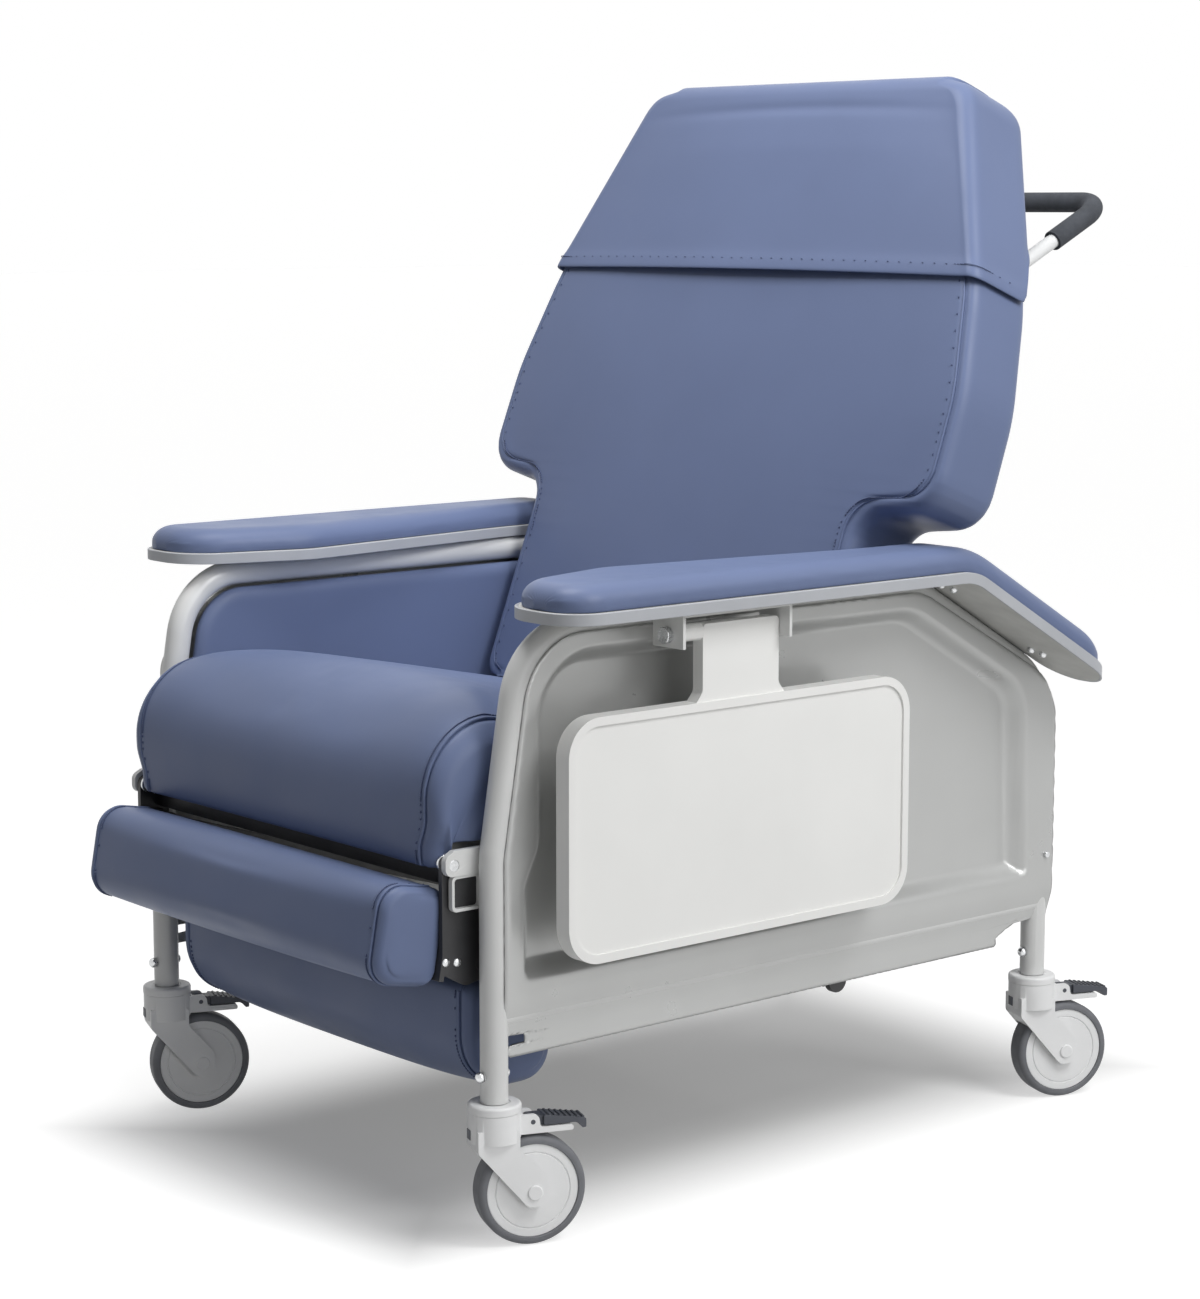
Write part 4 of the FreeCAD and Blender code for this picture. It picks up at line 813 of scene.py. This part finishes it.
def back_ring(height, grow, top=BACK_CORNER):
    """A section through the back at one height: half a side, the front, a side, the rear, half a
    side; and the number of points before the front."""
    past = max(0.0, (height - (BACK_TOP + grow - TOP_ROLL)) / TOP_ROLL)
    roll = TOP_ROLL * (1 - math.sqrt(max(0.0, 1 - min(1.0, past) ** 2)))
    front = -grow + roll
    rear = BACK_THICK + grow - roll * 0.8
    swell = BACK_CROWN * min(1.0, max(0.0, (BACK_TOP - height) / 90)) ** 0.5

    def reach(inset):
        return back_width(min(height, BACK_TOP - inset), inset, top) + grow

    def even_reach(step):
        level = min(max(height + step, BACK_FOOT + 40), BACK_TOP - SEAM_INSET)
        return back_width(level, SEAM_INSET, top)

    inner = reach(SEAM_INSET)
    edge = inner - np.array([0, 2.0, 4.5, 8.0])
    middle = np.linspace(-inner + 18, inner - 18, FRONT_COUNT - 7)
    xs = np.concatenate([-edge, middle, edge[::-1]])
    even = sum(even_reach(step) for step in NOTCH_BLEND) / len(NOTCH_BLEND)
    front_line = [(x, front - swell * (1 - min(1, abs(x) / even) ** 2.4)) for x in xs]
    turns = np.linspace(0, math.pi / 2, 5)
    right = [(reach(SEAM_INSET * (1 - math.sin(t))), front + BACK_RIM * (1 - math.cos(t)))
             for t in turns[1:]]
    walls = np.linspace(front + BACK_RIM, rear - BACK_RIM, SIDE_COUNT - 6)
    right += [(reach(0.0), depth) for depth in walls[1:-1]]
    right += [(reach(SEAM_INSET * (1 - math.cos(t))), rear - BACK_RIM + BACK_RIM * math.sin(t))
              for t in turns[:-1]]
    rear_line = [(x, rear) for x in xs[::-1]]
    left = [(-x, y) for x, y in right[::-1]]
    ring = front_line + right + rear_line + left
    lead = len(left) // 2
    start = len(ring) - lead
    return np.array(ring[start:] + ring[:start]), lead


def leaned(x, depth, height):
    return tuple(LEAN @ Vector((x, depth, height)))


def over_seat(point):
    """Keeps the back's foot on the seat's slope."""
    return (point[0], point[1], max(point[2], SEAT_LINE - point[1] * math.tan(SEAT_SLOPE)))


def back():
    rings = []
    for height in back_heights():
        ring, lead = back_ring(height, 0.0)
        rings.append([over_seat(leaned(x, depth, height)) for x, depth in ring])
    thing = ring_solid("back_cover", rings, BACK_RUNGS, 0.0, (0, 0, 1))
    around = len(rings[0])
    total = len(rings) * around
    held = np.zeros(len(thing.data.vertices))
    seams = [lead, lead + FRONT_COUNT]
    for i in range(around):
        if i in seams or i > lead + FRONT_COUNT + 6 or i < lead - 6:
            held[i:total:around] = 1.0
    held[:around] = 1.0
    puff(thing, held, 7)
    points = coordinates(thing)
    sink(thing, [points[seam:total:around] for seam in seams], 3.4, 2.0)
    sewn_rows = [(np.arange(seam, total, around)[6:-14], step) for seam, step in zip(seams, (1, -1))]
    sew("back_cover", thing, sewn_rows, "back", radius=1.2, lift=0.2)
    soft_piece(thing, "back", "back_cushion")


HOOD_ROWS = 56
HOOD_LOOSE = 5.5
HOOD_TOP = BACK_TOP + HOOD_LOOSE
REAR_HEM = HEM + 51
HEM_SEAM = 14
HEM_FOLD = 1.2


def hood():
    """A slip-on cover over the top of the back, open at its folded hem."""
    lead = back_ring(600, HOOD_LOOSE)[1]
    rises = [math.sin(math.pi / 2 * j / HOOD_ROWS) for j in range(HOOD_ROWS + 1)]
    front_heights = [HEM + (HOOD_TOP - HEM) * rise for rise in rises]
    rear_heights = [REAR_HEM + (HOOD_TOP - REAR_HEM) * rise for rise in rises]
    grid = []
    for front_height, rear_height in zip(front_heights, rear_heights):
        grow = HOOD_LOOSE + HEM_FOLD * (1 - soft_step((front_height - HEM - 17) / 5))
        front_ring = back_ring(front_height, grow, HOOD_CORNER)[0]
        rear_ring = back_ring(rear_height, grow, HOOD_CORNER)[0]
        ring = []
        for i in range(len(front_ring)):
            behind = lead + FRONT_COUNT + SIDE_COUNT - 3 < i < len(front_ring) - lead + 2
            x, depth = rear_ring[i] if behind else front_ring[i]
            height = rear_height if behind else front_height
            if lead < i < lead + FRONT_COUNT:
                bow = math.sin(math.pi * (i - lead) / FRONT_COUNT)
                low = max(0.0, 1 - (height - HEM) / 110)
                depth -= 5.0 * bow ** 2 * low ** 2
                height -= 3.0 * bow * low
                crease = math.exp(-((height - BACK_TOP + 44 - 6 * bow) / 7) ** 2)
                depth += 2.2 * crease * bow
            ring.append(leaned(x, depth, height))
        grid.append(ring)
    grid = np.array(grid)
    rows, around = grid.shape[:2]
    faces = strips(rows, around)
    base = (rows - 1) * around
    for k in range(around // 2):
        a, b = base + k, base + (k + 1)
        c, d = base + (around - k - 1) % around, base + (around - k) % around
        faces.append((a, b, c, d) if k else (a, b, c))
    thing = mesh_from("hood_cover", grid.reshape(-1, 3), faces, VINYL)
    row = int(np.argmin(np.abs(np.array(front_heights) - HEM - HEM_SEAM)))
    index = row * around + np.arange(lead + FRONT_COUNT + SIDE_COUNT - 4)
    stitches("hood_hem_stitching", [coordinates(thing)[index]], [normals_of(thing)[index]], "back",
             spacing=3.6, length=2.4, radius=0.5)
    thicken(thing, 2.4)
    soft_piece(thing, "back", "headrest_cover")


# pads that lie on a board: arms and inner sides

def row_range(outline, value):
    """Lowest and highest first coordinate of an outline at one value of the second."""
    closed = ring_closed(outline)
    found = []
    for a, b in zip(closed[:-1], closed[1:]):
        if (a[1] - value) * (b[1] - value) <= 0 and abs(a[1] - b[1]) > TINY:
            found.append(a[0] + (b[0] - a[0]) * (value - a[1]) / (b[1] - a[1]))
    return min(found), max(found)


def distance_to(outline, points):
    dense = resample(ring_closed(outline), EDGE_POINTS)
    return np.array([np.linalg.norm(dense - point, axis=1).min() for point in points])


def pad_grid(outline, rows, columns):
    """Points over an outline: rows along the second coordinate, columns along the first, both
    closer together at the edges."""
    low, high = outline[:, 1].min(), outline[:, 1].max()
    closer = (low + high) / 2 - (high - low) / 2 * np.cos(np.linspace(0, math.pi, rows)) * 0.99999
    values = 0.5 * closer + 0.5 * np.linspace(low + 1e-4, high - 1e-4, rows)
    closer = 0.5 - 0.5 * np.cos(np.linspace(0, math.pi, columns))
    shares = 0.6 * closer + 0.4 * np.linspace(0, 1, columns)
    grid = []
    for value in values:
        a, b = row_range(outline, value)
        grid.append([(a + (b - a) * share, value) for share in shares])
    return np.array(grid)


def board_pad(name, outline, top_of, rows, columns, place):
    """A pad over an outline: top_of(distance to the edge) is its height; place maps to the chair."""
    flat = pad_grid(outline, rows, columns).reshape(-1, 2)
    high = [top_of(gap) for gap in distance_to(outline, flat)]
    upper = [place(a, b, h) for (a, b), h in zip(flat, high)]
    lower = [place(a, b, 0.0) for a, b in flat]
    count = rows * columns
    faces = strips(rows, columns, closed=False)
    faces += [[count + corner for corner in face[::-1]] for face in faces]
    rim = list(range(columns)) + [j * columns + columns - 1 for j in range(1, rows)]
    rim += [(rows - 1) * columns + i for i in range(columns - 2, -1, -1)]
    rim += [j * columns for j in range(rows - 2, 0, -1)]
    for a, b in zip(rim, rim[1:] + rim[:1]):
        faces.append((a, count + a, count + b, b))
    made = mesh_from(name, np.array(upper + lower), faces, VINYL)
    outward(made)
    return made


def dome(full, edge, reach):
    """Height that rises from an edge to a full height over a reach, as a quarter ellipse."""
    def height(gap):
        share = min(1.0, gap / reach)
        return edge + (full - edge) * math.sqrt(max(0.0, 1 - (1 - share) ** 2))
    return height


ARM_OUT = 399
ARM_FRONT = -419
ARM_REAR = 393
ARM_BOARD = 12
ARM_INSET = 5


def arm_plan(inset):
    outer = ARM_OUT - inset
    front = ARM_FRONT + inset
    rear = ARM_REAR - inset
    end = 45 - inset
    return [(outer, front, end), (outer, rear, end), (outer - 89 + 2 * inset, rear, end - 5),
            (ARM_OUT - 106 + inset, ARM_BEND - 106, 300), (ARM_OUT - 153 + inset, -271, 90),
            (ARM_OUT - 112 + inset, front, 60)]


def arm_height(y, over):
    """Height of a line that follows the arm, with a soft bend."""
    bend = ARM_BEND + over * math.tan(SLOPE / 2)
    reach = (60 + over) * math.tan(SLOPE / 2)
    run = y - bend
    if run <= -reach:
        return RAIL + over
    if run >= reach:
        return RAIL + over - run * math.tan(SLOPE)
    share = (run + reach) / (2 * reach)
    return RAIL + over - reach * math.tan(SLOPE) * share * share


def arm_pads():
    low = TUBE_RADIUS + CLEAR + ARM_BOARD + CLEAR
    for name, side in SIDES:
        outline = rounded_outline([(side * x, y, radius) for x, y, radius in arm_plan(ARM_INSET)])

        def place(x, y, h):
            return (x, y, arm_height(y, low + h))

        thing = board_pad("arm_cover_" + name, outline, dome(26, 6, 24), 110, 26, place)
        soft_piece(thing, "frame", "arm_pad_" + name)


INNER_BASE = 430
INNER_GAP = 2.2


def inner_pads():
    outer = LEG_X + TUBE_RADIUS + CLEAR - PANEL_DISH - CLEAR
    offset = TUBE_RADIUS + INNER_GAP
    bend = ARM_BEND - offset * math.tan(SLOPE / 2)
    top = RAIL - offset
    rear = ARM_BEND + 110
    rear_top = top - (rear - bend) * math.tan(SLOPE)
    outline = rounded_outline([(-420.2, INNER_BASE, 20), (-391, top, 62), (bend, top, 62),
                               (rear, rear_top, 40), (rear, INNER_BASE, 20)])
    for name, side in SIDES:

        def place(y, z, h):
            return (side * (outer - h), y, z)

        thing = board_pad("inner_cover_" + name, outline, dome(13, 4, 16), 40, 90, place)
        soft_piece(thing, "frame", "inner_panel_" + name)


# pressed side panels: a sheet with a soft dished field, a ridge under it and a skirt

PANEL_LIP = 194
PANEL_COLUMNS = 190
PANEL_THICK = 2.2
PANEL_STEPS = [194.05, 205.9, 206.1, 216.9, 217.1]
PANEL_ROWS = ((197, 203, 3), (209, 214, 3), (220, 300, 30), (304, 560, 56), (563, 620.4, 34))
RIDGE = 2.5
SKIRT = 9


def panel_outline():
    lip = PANEL_LIP
    rear = LEG_REAR + TUBE_RADIUS
    top = RAIL - 2
    return [(-432, lip, 5), (290, lip, 3), (290, lip + 11, 6), (324, lip + 25, 6),
            (rear, lip + 25, 3), (rear, REAR_CORNER - 4, 78), (ARM_BEND, top, 78), (-404, top, 78),
            (-441, 400), (-441, lip + 23), (-409, lip + 23, 4), (-409, lip + 12),
            (-432, lip + 12, 5)]


def field_outline():
    front = -419
    rear = 332
    base = 271
    top = RAIL - 17
    return [(front, base, 14), (front, 372, 30), (front + 18, 408, 30), (front + 18, top, 75),
            (ARM_BEND - 12, top, 90), (rear - 8, REAR_CORNER - 2, 60), (rear, base, 14)]


def inside(outline, points):
    """True for each point within a closed outline."""
    hits = np.zeros(len(points), bool)
    for start, end in zip(outline, np.roll(outline, -1, axis=0)):
        rise = end[1] - start[1]
        if abs(rise) > TINY:
            spans = (start[1] > points[:, 1]) != (end[1] > points[:, 1])
            cross = (end[0] - start[0]) * (points[:, 1] - start[1]) / rise + start[0]
            hits ^= spans & (points[:, 0] < cross)
    return hits


def panel_shares():
    """Places along a row of the panel, closer together where its field turns."""
    share = np.linspace(0, 1, PANEL_COLUMNS)
    return (share + 0.11 * np.sin(4 * math.pi * share) / (4 * math.pi)
            - 0.06 * np.sin(2 * math.pi * share) / 6)


def side_panels():
    edge = rounded_outline(panel_outline())
    field = rounded_outline(field_outline())
    heights = np.sort(np.concatenate([PANEL_STEPS] + [np.linspace(*rows) for rows in PANEL_ROWS]))
    grid = []
    for z in heights:
        low, high = row_range(edge, z)
        grid.append(np.column_stack([low + (high - low) * panel_shares(), np.full(PANEL_COLUMNS, z)]))
    flat = np.array(grid).reshape(-1, 2)
    within = np.where(inside(field, flat), 1.0, 0.0) * distance_to(field, flat)
    dish = PANEL_DISH * soft_step(within / 20)
    skirt = SKIRT * soft_step((262 - flat[:, 1]) / 50)
    brim = np.clip(distance_to(edge, flat) / 4, 0, 1)
    turned = PANEL_THICK * (1 - np.sqrt(np.clip(1 - (1 - brim) ** 2, 0, 1)))
    across = LEG_X + TUBE_RADIUS + CLEAR + RIDGE - dish - skirt - turned
    faces = strips(len(heights), PANEL_COLUMNS, closed=False)
    for name, side in SIDES:
        points = np.column_stack([side * across, flat])
        turned_faces = faces if side == LEFT else [face[::-1] for face in faces]
        thing = mesh_from("panel_sheet_" + name, points, turned_faces, PANEL_PAINT)
        thicken(thing, PANEL_THICK)
        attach(thing, "frame")
        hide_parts("side_panel_" + name)


# small fittings

def fitting(name, shape, skin, body, smooth=False, bevel=0.0):
    """A small closed mesh that rides on a body; its shape is points, in millimetres, and faces."""
    thing = mesh_from(name, *shape, skin, smooth)
    outward(thing)
    if bevel:
        edge = thing.modifiers.new("soft_edges", "BEVEL")
        edge.width = bevel * MM
        edge.segments = 3
        edge.limit_method = "ANGLE"
    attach(thing, body)


def box_mesh(low, high):
    across, along, up = zip(low, high)
    points = [(x, y, z) for x in across for y in along for z in up]
    faces = [(0, 1, 3, 2), (4, 6, 7, 5), (0, 4, 5, 1), (2, 3, 7, 6), (0, 2, 6, 4), (1, 5, 7, 3)]
    return points, faces


def dome_mesh(at, axis, radius, height, sides=20, rings=6):
    """A bolt's domed head: a short skirt and a round top along an axis."""
    axis = unit(np.array(axis, float))
    first = unit(np.cross(axis, (0.3, 0.2, 0.9)))
    second = np.cross(axis, first)
    levels = [(1.0, -0.6)]
    levels += [(math.cos(t), math.sin(t)) for t in np.linspace(0, math.pi / 2 * 0.97, rings)]
    points = []
    for wide, high in levels:
        points += circle(np.array(at) + axis * height * high, first, second, radius * wide, sides)
    faces = strips(len(levels), sides)
    faces.append(list(range(sides))[::-1])
    faces.append([(len(levels) - 1) * sides + s for s in range(sides)])
    return points, faces


def swept(outlines, places):
    """Outlines set at each of two places along X."""
    return np.vstack([np.column_stack([np.full(len(outline), x), outline])
                      for x in places for outline in outlines])


def ring_mesh(outer, inner, places):
    """A frame with a hole, swept along X."""
    count = len(outer)
    faces = []
    for a, b in ((0, 1), (1, 3), (3, 2), (2, 0)):
        for i in range(count):
            k = (i + 1) % count
            faces.append((a * count + i, a * count + k, b * count + k, b * count + i))
    return swept([outer, inner], places), faces


def plate_mesh(outline, places):
    """A plate swept along X."""
    count = len(outline)
    faces = strips(2, count) + [list(range(count))[::-1], [count + i for i in range(count)]]
    return swept([outline], places), faces


RAIL_END = ((-483, 347), (-445, 384))
RAIL_WALL = 3.4
RAIL_INNER_X = 284.9
RAIL_OUTER_X = 291.2
RAIL_SHADE_X = 285.6


def rail_outline(inset, radius):
    (front, base), (rear, top) = RAIL_END
    front, rear, base, top = front + inset, rear - inset, base + inset, top - inset
    return rounded_outline([(front, base, radius), (rear, base, radius), (rear, top, radius),
                            (front, top, radius)])


def rail_ends():
    """The open ends of the seat's cross tube beside the front legs, each with a black plate as
    painted shade in its hollow, and the leg rest's bolts.
    """
    outer = rail_outline(0, 6)
    inner = rail_outline(RAIL_WALL, 3.5)
    for name, side in SIDES:
        shape = ring_mesh(outer, inner, (side * RAIL_INNER_X, side * RAIL_OUTER_X))
        fitting("rail_end_" + name, shape, FRAME_PAINT, "frame", bevel=0.6)
        # a thin black plate just inside each open tube end: painted shade standing in for the dark
        # hollow of the tube
        shape = plate_mesh(inner, (side * RAIL_INNER_X, side * RAIL_SHADE_X))
        fitting("rail_hollow_shade_" + name, shape, BLACK_STEEL, "frame")
        for number, (y, z) in enumerate(((-486, 296), (-472, 294)), 1):
            shape = dome_mesh((side * 284.0, y, z), (side, 0, 0), 4.6, 2.6)
            fitting("legrest_bolt_%s_%d" % (name, number), shape, ZINC, "legrest",
                    smooth=True)


def arm_bolts():
    """Bolts that hold the arm board to the frame, under the sloping end of the arm."""
    for name, side in SIDES:
        for number, (x, y) in enumerate(((333, 168), (344, 176), (333, 318), (344, 326)), 1):
            z = arm_height(y, TUBE_RADIUS + CLEAR) - 0.5
            shape = dome_mesh((side * x, y, z), (0, -0.5, -0.866), 4.6, 5.0)
            fitting("arm_bolt_%s_%d" % (name, number), shape, ZINC, "frame", smooth=True)


CASTOR_SWING = math.radians(21)
STEM_BOLT_Z = 178
RIB_PITCH = 6.0
RIB_WIDE = 2.4
RIB_HALF = 10.5


def castor_place(x, y, u, w, z):
    """A point given along and across a castor's own swing."""
    sin, cos = math.sin(CASTOR_SWING), math.cos(CASTOR_SWING)
    return (x + u * sin + w * cos, y + u * cos - w * sin, z)


def castor_fittings():
    """Stem bolts, the ribs on each brake pedal, and a dark box in each housing as painted shade for
    its slot.
    """
    for name, x, y in CORNERS:
        for face, sign, out in (("front", -1, 4), ("rear", 1, 0)):
            at = (x, y + sign * (TUBE_RADIUS + out), STEM_BOLT_Z)
            shape = dome_mesh(at, (0, sign, 0), 5.6, 4.2)
            fitting("stem_bolt_%s_%s" % (face, name), shape, ZINC, "frame", smooth=True)
        points = []
        faces = []
        for u in np.arange(54, 92, RIB_PITCH):
            top = 134.5 - 7 * (u - 49) / 45
            box, sides = box_mesh((u, -RIB_HALF, top - 1.5), (u + RIB_WIDE, RIB_HALF, top + 1.1))
            faces += [[len(points) + i for i in face] for face in sides]
            points += [castor_place(x, y, *corner) for corner in box]
        fitting("pedal_ribs_" + name, (points, faces), DARK_PLASTIC, "brake_pedal_" + name,
                bevel=0.4)
        # a thin dark box on each housing: painted shade standing in for the slot's dark opening
        box, faces = box_mesh((-27.6, -5, 113.5), (-24, 5, 124))
        points = [castor_place(x, y, *corner) for corner in box]
        fitting("housing_slot_shade_" + name, (points, faces), DARK_PLASTIC, "castor_" + name,
                bevel=0.6)


camera()
studio()
dress_solids()
seat()
calf_pad()
foot_pad()
back()
hood()
arm_pads()
inner_pads()
side_panels()
rail_ends()
arm_bolts()
castor_fittings()
